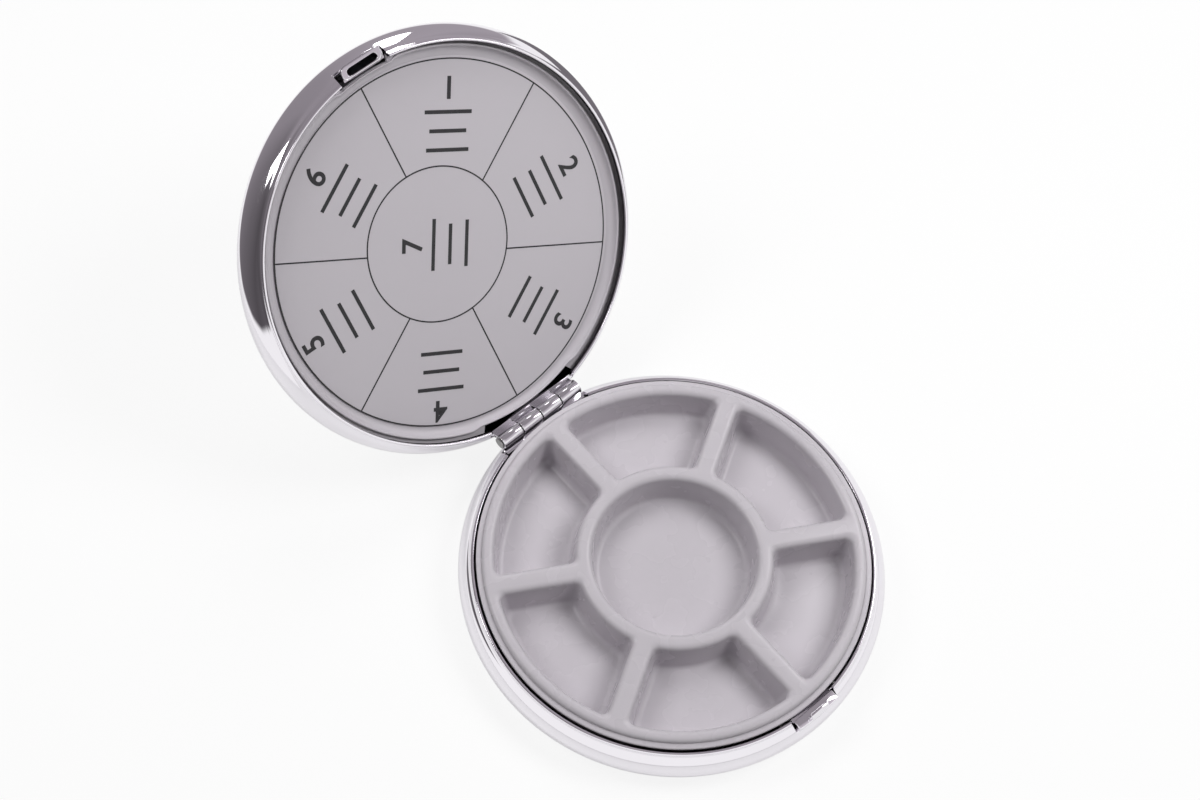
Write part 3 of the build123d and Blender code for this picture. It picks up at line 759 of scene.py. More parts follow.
def shell_surface(sizes, wall, hinge_side, latch_depth):
    """A pressed shell as one closed section carried round. Outside, the section is the flat, a
    quarter ellipse out to the bulge and a circle's arc in to the rim; inside it is the same, set
    in by the wall. The rim's height changes round the shell, and its two edges are rounded."""
    rim = BULGE_RADIUS - sizes.rim_inset
    bulge_height = HALF_HEIGHT - sizes.bulge_sink
    flat = BULGE_RADIUS - sizes.side_width
    curl_centre = BULGE_RADIUS - sizes.curl
    notches = notch_list(sizes, hinge_side, latch_depth)
    angles = shell_angles(sizes, notches, rim)
    tops = rim_heights(sizes, notches, rim, angles)[:, None]

    def side_radius(heights, inset):
        """Radius of the side at a height: the curl's arc, or the rim's radius above it."""
        reach = np.sqrt(np.maximum((sizes.curl - inset) ** 2 - (heights - bulge_height) ** 2, 0))
        return np.maximum(curl_centre + reach, rim - inset)

    def lower(inset, count):
        """Flat and quarter ellipse from near the axis out to the bulge."""
        centre = (flat, bulge_height)
        radii = (sizes.side_width - inset, bulge_height - inset)
        face = straight((SHELL_INNER_RING, inset), (flat - FLAT_MARGIN, inset), 8)
        return np.concatenate([face, arc(centre, radii, -90, 0, count)])

    def spread(section):
        """One section repeated for every angle."""
        return np.broadcast_to(section, (len(angles), *section.shape))

    round_width = sizes.lip_round
    climb = np.linspace(0, 1, 18)[1:]
    outer_heights = bulge_height + (tops - round_width - bulge_height) * climb
    outer = np.stack([side_radius(outer_heights, 0), outer_heights], -1)
    inner_heights = outer_heights[:, ::-1]
    inner = np.stack([side_radius(inner_heights, wall), inner_heights], -1)
    shoulder = outer[:, -1, 0][:, None]
    hollow = inner[:, 0, 0][:, None]
    turn = np.radians(np.linspace(0, 90, 6)[1:])
    outer_lip = np.stack([
        shoulder - round_width * (1 - np.cos(turn)), tops - round_width * (1 - np.sin(turn))
    ], -1)
    turn = turn[::-1] - turn[0]
    inner_lip = np.stack([
        hollow + round_width * (1 - np.cos(turn)), tops - round_width * (1 - np.sin(turn))
    ], -1)[:, :-1]
    inner_floor = lower(wall, 12)[::-1]
    section = np.concatenate([
        spread(lower(0, 16)), outer, outer_lip, inner_lip, inner, spread(inner_floor)
    ], 1)
    grid = turned(section[..., 0], section[..., 1], angles)
    points, faces = poled_surface(grid, (0, 0, 0), (0, 0, wall))
    columns, rows = grid.shape[:2]
    outside_rows = rows - len(inner_floor) - inner.shape[1]
    inside = np.broadcast_to(np.arange(rows - 1) >= outside_rows, (columns, rows - 1))
    return points, faces, np.concatenate([inside.ravel(), np.zeros(columns), np.ones(columns)])


class PILLBOX_OT_base_shell(bpy.types.Operator):
    """Build the base's polished metal shell"""

    bl_idname = "pillbox.base_shell"
    bl_label = "Base Shell"

    def execute(self, context):
        sizes = settings().shell
        points, faces, inside = shell_surface(sizes, sizes.base_wall, pi / 2, sizes.base_latch_depth)
        # The inner faces take the darkened inside colour, painted shade for the gaps along the rim
        sheet = inside_finish("base_inside", settings().colours.base_inside)
        piece = make_piece("base_cup", (points, faces), chrome(), inner=sheet, inner_faces=inside)
        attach(piece, "base")
        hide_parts("base_shell")
        return {"FINISHED"}


class PILLBOX_OT_lid_shell(bpy.types.Operator):
    """Build the lid's polished metal shell"""

    bl_idname = "pillbox.lid_shell"
    bl_label = "Lid Shell"

    def execute(self, context):
        sizes = settings().shell
        points, faces, inside = shell_surface(sizes, sizes.lid_wall, -pi / 2, sizes.lid_latch_depth)
        # Middle of the catch, round which the lid's inner face is lightened as painted light
        catch = (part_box("lid_catch")[0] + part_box("lid_catch")[1]) / 2
        # The lid's inner faces take the darker colour as painted shade, with painted light round the
        # catch
        sheet = inside_finish("lid_inside", settings().colours.lid_inside, painted_light_spot=catch)
        surface = (in_lid(points), faces)
        piece = make_piece("lid_cup", surface, chrome(), inner=sheet, inner_faces=inside)
        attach(piece, "lid")
        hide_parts("lid_shell")
        return {"FINISHED"}


# Tray


def pocket_half(sizes, grow, corner):
    """Half the outline of an outer pocket that points along X, grown by a width, as polar angle
    and radius. It runs along the outer arc, round a corner, down the spoke, round a corner and
    along the inner arc. Each corner is a circle that touches the arc and the spoke's side."""
    half_turn = pi / sizes.pockets
    outer = LIP_RADIUS - sizes.lip_width - sizes.border + grow
    inner = sizes.cup_radius + sizes.ring_width - grow
    side = sizes.spoke_width / 2 - grow
    outer_turn = half_turn - asin((side + corner) / (outer - corner))
    inner_turn = half_turn - asin((side + corner) / (inner + corner))
    outer_centre = (outer - corner) * np.array([cos(outer_turn), sin(outer_turn)])
    inner_centre = (inner + corner) * np.array([cos(inner_turn), sin(inner_turn)])
    square = half_turn + pi / 2
    turn = np.linspace(0, outer_turn, ARC_POINTS + 1)[:-1]
    outer_arc = outer * np.stack([np.cos(turn), np.sin(turn)], -1)
    turn = np.linspace(outer_turn, square, CORNER_STEPS + 1)
    outer_corner = outer_centre + corner * np.stack([np.cos(turn), np.sin(turn)], -1)
    turn = np.linspace(square, inner_turn + pi, CORNER_STEPS + 1)
    inner_corner = inner_centre + corner * np.stack([np.cos(turn), np.sin(turn)], -1)
    spoke = straight(outer_corner[-1], inner_corner[0], SPOKE_POINTS + 2)[1:-1]
    turn = np.linspace(inner_turn, 0, INNER_STEPS + 1)[1:]
    inner_arc = inner * np.stack([np.cos(turn), np.sin(turn)], -1)
    points = np.concatenate([outer_arc, outer_corner, spoke, inner_corner, inner_arc])
    return np.arctan2(points[:, 1], points[:, 0]), np.hypot(points[:, 0], points[:, 1])


def cell_half(sizes, inner_radius, outer_radius):
    """Half the boundary of the cell round a pocket, point for point with pocket_half at the
    mouth: the outer arc, the middle line of the spoke and the inner arc. The points numbered
    OUTER_CORNER and INNER_CORNER are at the cell's corners."""
    turn, radius = pocket_half(sizes, 0, sizes.corner)
    half_turn = pi / sizes.pockets
    index = np.arange(len(turn))

    def past(start):
        """0 up to a point of the outline, rising to 1 over half a corner's steps."""
        return np.clip((index - start) / CORNER_HALF, 0, 1)

    outer_turn = turn * (1 - past(ARC_POINTS)) + half_turn * past(ARC_POINTS)
    inner_turn = half_turn * (1 - past(INNER_CORNER)) + turn * past(INNER_CORNER)
    along = radius * np.cos(half_turn - turn)
    top = 1 - past(OUTER_CORNER)
    low = past(SPOKE_END)
    spoke_radius = along * (1 - top) * (1 - low) + outer_radius * top + inner_radius * low
    on_arc = index <= OUTER_CORNER
    on_spoke = index < INNER_CORNER
    cell_turn = np.where(on_arc, outer_turn, np.where(on_spoke, half_turn, inner_turn))
    cell_radius = np.where(on_arc, outer_radius, np.where(on_spoke, spoke_radius, inner_radius))
    return cell_turn, cell_radius


def whole_loop(half, height):
    """A closed loop from its half: the half, then its mirror image across X backwards."""
    turn, radius = half
    turn = np.concatenate([turn, -turn[-2:0:-1]])
    radius = np.concatenate([radius, radius[-2:0:-1]])
    return np.stack([radius * np.cos(turn), radius * np.sin(turn), np.full(len(turn), height)], -1)


def pocket_section(sizes):
    """Growth and height down a pocket's wall: a rounded mouth, the drafted wall and a rounded
    foot. Each rounding is the circle that touches its two straight neighbours."""
    slope = sizes.draft
    rounding = sizes.mouth_round
    lead = rounding * tan((pi / 2 - slope) / 2)
    turn = np.linspace(0, pi / 2 - slope, 9)
    mouth = np.stack([lead - rounding * np.sin(turn), -rounding * (1 - np.cos(turn))], -1)
    foot_grow = -sizes.depth * tan(slope)
    rounding = sizes.floor_round
    lead = rounding * tan((pi / 2 - slope) / 2)
    foot = np.stack([foot_grow - lead + rounding * np.sin(turn), rounding * (1 - np.cos(turn))], -1)
    foot = foot[::-1] + (0, -sizes.depth)
    return np.concatenate([mouth, straight(mouth[-1], foot[0], 8)[1:-1], foot])


def pocket_surface(sizes, inner_radius, outer_radius):
    """One outer pocket with the top round it: loops from the cell's boundary over the mouth and
    down the wall, then drawn in over the floor to its middle."""
    loops = [whole_loop(cell_half(sizes, inner_radius, outer_radius), TRAY_TOP)]
    for grow, drop in pocket_section(sizes):
        beyond_wall = grow + sizes.depth * tan(sizes.draft)
        share = 1 + beyond_wall / (sizes.corner_blend * sizes.corner)
        corner = sizes.corner * np.clip(share, sizes.corner_least, 1)
        loops.append(whole_loop(pocket_half(sizes, grow, corner), TRAY_TOP + drop))
    floor = loops[-1]
    middle = (floor.max(0) + floor.min(0)) / 2
    loops += [middle + (floor - middle) * share for share in POCKET_FLOOR_RINGS]
    return dished_surface(np.stack(loops, 1), middle)


def tray_surface(sizes):
    """The whole tray: one pocket repeated round the axis, the cup inside, and the edge, lip,
    underside and standing rings carried round outside. All share their angles where they meet."""
    outer_radius = LIP_RADIUS - sizes.lip_width - sizes.edge_round
    inner_radius = sizes.cup_radius + sizes.ring_width / 2
    pocket_points, pocket_faces = pocket_surface(sizes, inner_radius, outer_radius)
    cell_turn, _ = cell_half(sizes, inner_radius, outer_radius)
    step = 2 * pi / sizes.pockets
    on_arc, on_cup = cell_turn[:OUTER_CORNER + 1], cell_turn[INNER_CORNER:]
    outer_turns = np.concatenate([on_arc, -on_arc[:0:-1]])
    inner_turns = np.concatenate([on_cup, -on_cup[-2::-1]])
    starts = np.arange(sizes.pockets)[:, None] * step
    outer_angles = np.unique(np.round((outer_turns + starts) % (2 * pi), 7))
    inner_angles = np.unique(np.round((inner_turns + starts) % (2 * pi), 7))
    surfaces = []
    for start in starts.ravel():
        rotation = np.array([(cos(start), sin(start), 0), (-sin(start), cos(start), 0), (0, 0, 1)])
        surfaces.append((pocket_points @ rotation, pocket_faces))

    down = pocket_section(sizes)
    cup_radii = sizes.cup_radius + down[:, 0]
    floor_radii = cup_radii[-1] * np.array(CUP_FLOOR_RINGS)
    radii = np.concatenate([[inner_radius], cup_radii, floor_radii])
    drops = np.concatenate([[0], down[:, 1], np.full(len(floor_radii), down[-1, 1])])
    heights = TRAY_TOP + drops
    surfaces.append(dished_surface(turned(radii, heights, inner_angles), (0, 0, heights[-1])))

    edge = LIP_RADIUS - sizes.lip_width
    lip = LIP_RADIUS + sizes.lip_reach
    easing = sizes.lip_ease
    skirt = edge - sizes.lip_width
    floor = TRAY_TOP - sizes.depth - sizes.floor_sheet
    stand = settings().shell.base_wall
    outline = [
        arc((outer_radius, TRAY_TOP - sizes.edge_round), (sizes.edge_round,) * 2, 90, 0, 10),
        arc((edge + easing, sizes.lip_top + easing), (easing,) * 2, 180, 270, 5),
        arc((lip - easing, sizes.lip_top - easing), (easing,) * 2, 90, 0, 5),
        arc((lip - easing, sizes.lip_bottom + easing), (easing,) * 2, 0, -90, 5),
        [(skirt, sizes.lip_bottom), (skirt, floor)],
    ]
    outer_middle = edge - sizes.border - sizes.outer_foot
    cup_middle = sizes.cup_radius - sizes.cup_foot
    for middle in (outer_middle, cup_middle):
        out, inn = middle + sizes.foot_width / 2, middle - sizes.foot_width / 2
        outline.append([(out, floor), (out, stand), (inn, stand), (inn, floor)])
    outline = np.concatenate(outline)
    skin = turned(outline[:, 0], outline[:, 1], outer_angles)
    surfaces.append(dished_surface(skin, (0, 0, floor)))
    return merged(surfaces)


class PILLBOX_OT_tray(bpy.types.Operator):
    """Build the moulded tray with its seven pockets"""

    bl_idname = "pillbox.tray"
    bl_label = "Tray"

    def execute(self, context):
        values = settings()
        rough = values.textures.tray_rough
        material = plastic_finish("tray_plastic", values.colours.tray, rough, texture=0.03)
        piece = make_piece("tray_moulding", tray_surface(settings().tray), material, sharp_angle=50)
        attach(piece, "base")
        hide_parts("pill_tray")
        return {"FINISHED"}


# Lining, label and print


def lining_edges():
    """Edge radius, flat radius, flat height and edge height of the lining, from the shell."""
    sizes, shell = settings().lining, settings().shell
    edge = BULGE_RADIUS - shell.rim_inset - shell.lid_wall - sizes.edge_gap
    return edge, edge - sizes.cove, HALF_HEIGHT - sizes.sink, HALF_HEIGHT - sizes.edge_sink


def lining_surface():
    """The lining as a closed section carried round: the flat, a quarter ellipse up to the rounded
    edge, the bead below it and the underside. Edge and bead draw back beside the hinge and the
    catch."""
    sizes, shell = settings().lining, settings().shell
    edge, flat, floor, top = lining_edges()
    angles = np.linspace(0, 2 * pi, SHELL_STEPS, endpoint=False)
    bulge_height = HALF_HEIGHT - shell.bulge_sink
    bead_low = floor + sizes.bead_rise
    bead_high = bead_low + sizes.bead_sheet
    curl = shell.curl - shell.lid_wall
    wall = BULGE_RADIUS - shell.curl + np.sqrt(curl ** 2 - (bead_high - bulge_height) ** 2)
    across = np.abs(edge * np.cos(angles))
    at_hinge = BARREL_HALF + sizes.bead_hinge_gap
    at_catch = shell.latch_half_width + sizes.bead_catch_gap
    clear = np.where(np.sin(angles) < 0, at_hinge, at_catch)
    reach = np.where(across < clear, edge + sizes.bead_step, wall - sizes.bead_gap)[:, None]
    grow = sizes.edge_grow * smooth((across - clear) / sizes.grow_blend)[:, None]
    ease = sizes.lip / 2
    upper = np.concatenate([
        straight((INNER_RING, floor), (flat, floor), 6)[:-1],
        arc((flat, top), (sizes.cove - sizes.lip, top - floor), -90, 0, 12)[:-1],
        arc((edge - ease, top - ease), (ease, ease), 180, 0, 11),
        [(edge, bead_high)],
    ])
    below = floor - sizes.sheet
    under = np.array([(edge, bead_low), (flat, below), (INNER_RING, below)])
    spread = np.ones((len(angles), 1))
    outwards = np.clip((upper[:, 0] - flat) / (edge - flat), 0, 1)
    radii = np.concatenate([upper[:, 0] + grow * outwards, reach, reach, spread * under[:, 0]], 1)
    heights = np.concatenate([upper[:, 1], [bead_high, bead_low], under[:, 1]])
    grid = turned(radii, heights, angles)
    points, faces = poled_surface(grid, (0, 0, floor), (0, 0, below))
    return in_lid(points), faces


def label_surface():
    """The label as a thin disc with a rounded edge."""
    sizes = settings().lining
    _, _, floor, _ = lining_edges()
    ease = sizes.label_sheet / 3
    high = floor + sizes.label_sheet
    section = np.concatenate([
        [(INNER_RING, high), (LABEL_RADIUS - FLAT_MARGIN, high)],
        arc((LABEL_RADIUS - ease, high - ease), (ease, ease), 90, 0, 5),
        [(LABEL_RADIUS, floor), (INNER_RING, floor)],
    ])
    angles = np.linspace(0, 2 * pi, PRINT_STEPS, endpoint=False)
    grid = turned(section[:, 0], section[:, 1], angles)
    points, faces = poled_surface(grid, (0, 0, high), (0, 0, floor))
    return in_lid(points), faces


def ring_line(centre, radius, width, low, high):
    """A printed circle: a small closed section carried round a centre."""
    angles = np.linspace(0, 2 * pi, PRINT_STEPS, endpoint=False)
    inner, outer = radius - width / 2, radius + width / 2
    grid = turned(np.array([inner, outer, outer, inner]), np.array([high, high, low, low]), angles)
    grid = grid + (centre[0], centre[1], 0)
    return grid.reshape(-1, 3), grid_faces(*grid.shape[:2], round_rows=True)


def bar_line(start, end, width, low, high):
    """A printed straight line between two points, as a thin slab."""
    start, end = np.array(start), np.array(end)
    along = (end - start) / np.linalg.norm(end - start)
    aside = np.array([-along[1], along[0]]) * width / 2
    corners = np.array([start - aside, end - aside, end + aside, start + aside])
    points = np.concatenate([
        np.column_stack([corners, np.full(4, low)]), np.column_stack([corners, np.full(4, high)])
    ])
    faces = [[3, 2, 1, 0], [4, 5, 6, 7], [0, 1, 5, 4], [1, 2, 6, 5], [2, 3, 7, 6], [3, 0, 4, 7]]
    return points, faces


def circle_hit(start, direction, centre, radius):
    """Where a ray from inside a circle meets it."""
    start, direction = np.array(start) - centre, np.array(direction)
    along = start @ direction
    return centre + start + direction * (-along + (along ** 2 + radius ** 2 - start @ start) ** 0.5)


def chart_lines(sizes, low, high):
    """The chart's two circles and six spokes, and the ruled lines under each number."""
    circles = (
        ((sizes.inner_shift_x, sizes.inner_shift_y), sizes.inner_circle),
        ((sizes.outer_shift_x, sizes.outer_shift_y), sizes.outer_circle),
    )
    lines = [ring_line(centre, radius, sizes.line_width, low, high) for centre, radius in circles]
    hub = (sizes.hub_x, sizes.hub_y)
    for turn in np.radians(np.arange(0, 360, DAY_TURN) + DAY_TURN / 2):
        direction = (cos(turn), sin(turn))
        ends = [circle_hit(hub, direction, np.array(centre), radius) for centre, radius in circles]
        lines.append(bar_line(*ends, sizes.line_width, low, high))
    for centre, up in chart_blocks(sizes):
        side = np.array([up[1], -up[0]])
        for step, length in RULED_LINES:
            middle = centre + up * step * sizes.rule_pitch
            half = side * length * MM / 2
            lines.append(bar_line(middle - half, middle + half, sizes.rule_width, low, high))
    return lines


def chart_blocks(sizes):
    """Centre and upward direction of each day's block: six round the chart, each with its top
    outwards, counted clockwise from the latch's right, and the seventh in the middle."""
    blocks = []
    hub = np.array([sizes.hub_x, sizes.hub_y])
    for turn in np.radians(DAY_TURN - np.arange(0, 360, DAY_TURN)):
        up = np.array([cos(turn), sin(turn)])
        blocks.append((hub + up * sizes.block_radius, up))
    middle = np.array([sizes.inner_shift_x, sizes.inner_shift_y])
    turn = radians(MIDDLE_TURN)
    blocks.append((middle, np.array([cos(turn), sin(turn)])))
    return blocks


def number_mesh(text, height, weight, thickness):
    """One number as a solid mesh, centred, with its height as given and its strokes thickened by
    the weight on each side."""
    curve = bpy.data.curves.new("number", "FONT")
    curve.body = text
    curve.size = (height - 2 * weight) / NUMBER_SHARE
    curve.offset = weight
    curve.align_x = "CENTER"
    curve.align_y = "CENTER"
    curve.extrude = thickness / 2
    holder = linked("number", curve)
    seen = holder.evaluated_get(bpy.context.evaluated_depsgraph_get())
    mesh = bpy.data.meshes.new_from_object(seen)
    bpy.data.objects.remove(holder)
    return mesh


class PILLBOX_OT_lining(bpy.types.Operator):
    """Build the lid's moulded lining"""

    bl_idname = "pillbox.lining"
    bl_label = "Lid Lining"

    def execute(self, context):
        values = settings()
        rough = values.textures.lining_rough
        material = plastic_finish("lining_plastic", values.colours.lining, rough)
        piece = make_piece("lid_lining", lining_surface(), material)
        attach(piece, "lid")
        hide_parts("lid_liner")
        return {"FINISHED"}


class PILLBOX_OT_label(bpy.types.Operator):
    """Build the label film and its printed chart"""

    bl_idname = "pillbox.label"
    bl_label = "Day Label"

    def execute(self, context):
        sizes, colours = settings().lining, settings().colours
        rough = settings().textures.label_rough
        film = plastic_finish("label_film", colours.label, rough, texture=0.04)
        label = make_piece("label_film", label_surface(), film)
        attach(label, "lid")
        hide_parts("day_label")

        _, _, floor, _ = lining_edges()
        low = floor + sizes.label_sheet - sizes.ink
        high = floor + sizes.label_sheet + sizes.ink
        points, faces = merged(chart_lines(sizes, low, high))
        chart = make_piece("day_chart", (in_lid(points), faces), ink_finish("label_ink", colours.ink))
        work = bmesh.new()
        work.from_mesh(chart.data)
        for number, (centre, up) in enumerate(chart_blocks(sizes), start=1):
            mesh = number_mesh(str(number), sizes.digit_height, sizes.digit_weight, high - low)
            side = np.array([up[1], -up[0]])
            middle = centre + up * NUMBER_STEP * sizes.rule_pitch
            spread = np.array([(*side, 0), (*up, 0), (0, 0, 1)])
            place = in_lid(np.array([*middle, (low + high) / 2]))
            turn = Matrix((spread @ LID_AXES).T.tolist()).to_4x4()
            mesh.transform(Matrix.Translation(place) @ turn)
            work.from_mesh(mesh)
            bpy.data.meshes.remove(mesh)
        work.to_mesh(chart.data)
        work.free()
        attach(chart, "lid")
        return {"FINISHED"}


# Hinge


def rolled_strip(sizes, start, end):
    """A strip rolled round the pin: its middle line climbs from the shelf and follows a circle
    about the pin nearly all the way round. Its section is the middle line set out to both sides
    by half the sheet, and it runs along X, drawn in a little at both cut ends. Distances are
    outwards from the box's axis and up."""
    half = sizes.sheet / 2
    roll = sizes.knuckle_radius - half
    climb = straight((HINGE_Y - roll, sizes.notch_height + sizes.shelf_sheet / 2),
                     (HINGE_Y - roll, HALF_HEIGHT), 5)[:-1]
    round_pin = arc((HINGE_Y, HALF_HEIGHT), (roll, roll), 180, degrees(sizes.roll_end), 44)
    middle = np.concatenate([climb, round_pin])
    tangent = np.gradient(middle, axis=0)
    tangent /= np.linalg.norm(tangent, axis=1)[:, None]
    normal = np.stack([-tangent[:, 1], tangent[:, 0]], -1)
    ease = sizes.edge_round
    shares = np.array([(0, ease), (0.3 * ease, 0.3 * ease), (ease, 0)])
    stations = np.concatenate([shares[:, 0] + start, end - shares[::-1, 0]])
    trims = np.concatenate([shares[:, 1], shares[::-1, 1]])
    columns = []
    for station, trim in zip(stations, trims):
        loop = np.concatenate([middle + normal * (half - trim), (middle - normal * (half - trim))[::-1]])
        columns.append(np.column_stack([np.full(len(loop), station), loop]))
    grid = np.stack(columns)
    count = len(middle)
    faces = grid_faces(len(columns), 2 * count, round_columns=False, round_rows=True)
    rung = np.arange(count - 1)
    caps = np.stack([rung, rung + 1, 2 * count - 2 - rung, 2 * count - 1 - rung], -1)
    faces += caps.tolist() + (caps + (len(columns) - 1) * 2 * count).tolist()
    return grid.reshape(-1, 3), faces


def leaf_surface(sizes, starts):
    """One hinge leaf: the shelf over the shell's notch, the plate inside the shell, and two
    rolled knuckles that start at the given places along X."""
    strip_out = HINGE_Y - sizes.knuckle_radius + sizes.sheet
    parts = [
        block((-BARREL_HALF, sizes.shelf_in, sizes.notch_height),
              (BARREL_HALF, strip_out, sizes.notch_height + sizes.shelf_sheet)),
        block((-sizes.plate_half, sizes.shelf_in, sizes.plate_low),
              (sizes.plate_half, sizes.shelf_in + sizes.plate_sheet, sizes.notch_height)),
    ]
    gap = sizes.knuckle_gap / 2
    parts += [rolled_strip(sizes, start + gap, start + KNUCKLE_PITCH - gap) for start in starts]
    return merged(parts)


class PILLBOX_OT_hinge(bpy.types.Operator):
    """Build the two hinge leaves with their rolled knuckles, and the pin"""

    bl_idname = "pillbox.hinge"
    bl_label = "Hinge"

    def execute(self, context):
        sizes = settings().hinge
        material = hinge_plating()
        points, faces = leaf_surface(sizes, (-KNUCKLE_PITCH, KNUCKLE_PITCH))
        base_leaf = make_piece("base_leaf", (points, faces), material, sharp_angle=40)
        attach(base_leaf, "base")
        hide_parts("base_hinge_leaf")

        points, faces = leaf_surface(sizes, (-BARREL_HALF, 0))
        points = in_lid(points * (1, -1, 1))
        lid_leaf = make_piece("lid_leaf", (points, faces), material, sharp_angle=40)
        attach(lid_leaf, "lid")
        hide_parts("lid_hinge_leaf")

        pin = eased_copy("hinge_pin", "pin", steel(), sizes.edge_round)
        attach(pin, "base")
        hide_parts("hinge_pin")
        return {"FINISHED"}


# Latch


def rounded_bar(half_width, low, high, corner, count):
    """A closed outline across X: a rectangle between two distances whose four corners are
    circles, as points evenly shared among its corners, starting on the outer side."""
    loop = []
    centres = [(half_width - corner, high - corner), (half_width - corner, low + corner),
               (-half_width + corner, low + corner), (-half_width + corner, high - corner)]
    for centre, start in zip(centres, (90, 0, -90, -180)):
        loop.append(arc(centre, (corner, corner), start, start - 90, count))
    return np.concatenate(loop)


def catch_surface(sizes):
    """The slotted ring and its stem. Round the slot, each point of the slot's edge is joined to
    its partner on the ring's outer edge by a section with rounded edges."""
    slot_round = (sizes.slot_outer - sizes.slot_inner - sizes.slot_flat) / 2
    inner = rounded_bar(sizes.slot_half, sizes.slot_inner, sizes.slot_outer, slot_round, 12)
    ring_half = CATCH_HALF_WIDTH + sizes.ring_spread
    outer = rounded_bar(ring_half, sizes.inner, sizes.outer, sizes.corner, 12)
    ease = sizes.edge_round
    width = np.linalg.norm(outer - inner, axis=1)
    turn = np.radians(np.linspace(0, 90, 4))
    section = []
    for shift, side in ((0, -1), (1, 1)):
        for step, rise in zip(ease * (1 - np.cos(turn)), ease * (1 - np.sin(turn))):
            section.append((shift, -side * step, sizes.low + rise))
    upper = [(shift, step, sizes.low + sizes.high - height) for shift, step, height in section[::-1]]
    columns = []
    for shift, step, height in section + upper:
        share = (shift + step / width)[:, None]
        points = inner * (1 - share) + outer * share
        columns.append(np.column_stack([points, np.full(len(points), height)]))
    grid = np.stack(columns, 1)
    ring = (grid.reshape(-1, 3), grid_faces(*grid.shape[:2], round_rows=True))
    top = sizes.low + ease
    stem = block((-ring_half, sizes.inner, sizes.foot), (ring_half, sizes.slot_inner, top))
    return merged([ring, stem])


class PILLBOX_OT_latch(bpy.types.Operator):
    """Build the slotted catch and ease the edges of the button, its bracket and its spring"""

    bl_idname = "pillbox.latch"
    bl_label = "Latch"

    def execute(self, context):
        sizes = settings().latch
        points, faces = catch_surface(sizes)
        catch = make_piece("slotted_catch", (in_lid(points), faces), hinge_plating(), sharp_angle=40)
        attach(catch, "lid")
        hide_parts("lid_catch")

        button = eased_copy("latch_button", "finger_button", chrome(), sizes.edge_round)
        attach(button, "button")
        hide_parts("latch_button")

        bracket = eased_copy("latch_bracket", "spring_seat", steel(), sizes.edge_round / 2)
        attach(bracket, "base")
        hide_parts("latch_bracket")

        spring = eased_copy("latch_spring", "leaf_spring", steel(), sizes.edge_round / 4)
        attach(spring, "base")
        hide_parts("latch_spring")
        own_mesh(spring)
        return {"FINISHED"}


# Studio


def seen_share(nodes, links, mirrored=1.0):
    """1 for rays from the camera and for refracted rays, the given share for mirrored rays and
    0 for the rest."""
    path = nodes.new("ShaderNodeLightPath")
    share = ranged(nodes, links, path.outputs["Is Glossy Ray"], 0, mirrored, source=(0, 1))
    for kind in ("Is Camera Ray", "Is Transmission Ray"):
        larger = nodes.new("ShaderNodeMath")
        larger.operation = "MAXIMUM"
        links.new(share, larger.inputs[0])
        links.new(path.outputs[kind], larger.inputs[1])
        share = larger.outputs[0]
    return share


def floor_finish(colour, glow, mirrored):
    """White floor: a share of it shows as plain white whatever the lamps do, and the rest is
    lit, so that it keeps the box's shadow. Mirrored in the metal, more of the shadow shows."""
    material, nodes, links, shader = new_finish("studio_floor")
    values = settings().textures
    shader.inputs["Roughness"].default_value = values.floor_rough
    uneven = grain(nodes, links, values.floor_grain)
    tone = tinted(nodes, links, uneven, scaled(colour, values.floor_dark), colour)
    links.new(tone, shader.inputs["Base Color"])
    white = nodes.new("ShaderNodeEmission")
    white.inputs["Strength"].default_value = 1.0
    share = ranged(nodes, links, seen_share(nodes, links, mirrored), 0, glow, source=(0, 1))
    mix = nodes.new("ShaderNodeMixShader")
    links.new(share, mix.inputs[0])
    links.new(shader.outputs[0], mix.inputs[1])
    links.new(white.outputs[0], mix.inputs[2])
    output = next(node for node in nodes if node.type == "OUTPUT_MATERIAL")
    links.new(mix.outputs[0], output.inputs["Surface"])
    return material


def card_finish():
    """Grey card that shows the tone its points carry, whatever the lamps do."""
    material, nodes, links, shader = new_finish("studio_card")
    material.cycles.emission_sampling = "NONE"
    nodes.remove(shader)
    tone = nodes.new("ShaderNodeAttribute")
    tone.attribute_name = "tone"
    light = nodes.new("ShaderNodeEmission")
    links.new(tone.outputs["Color"], light.inputs["Color"])
    output = next(node for node in nodes if node.type == "OUTPUT_MATERIAL")
    links.new(light.outputs[0], output.inputs["Surface"])
    return material


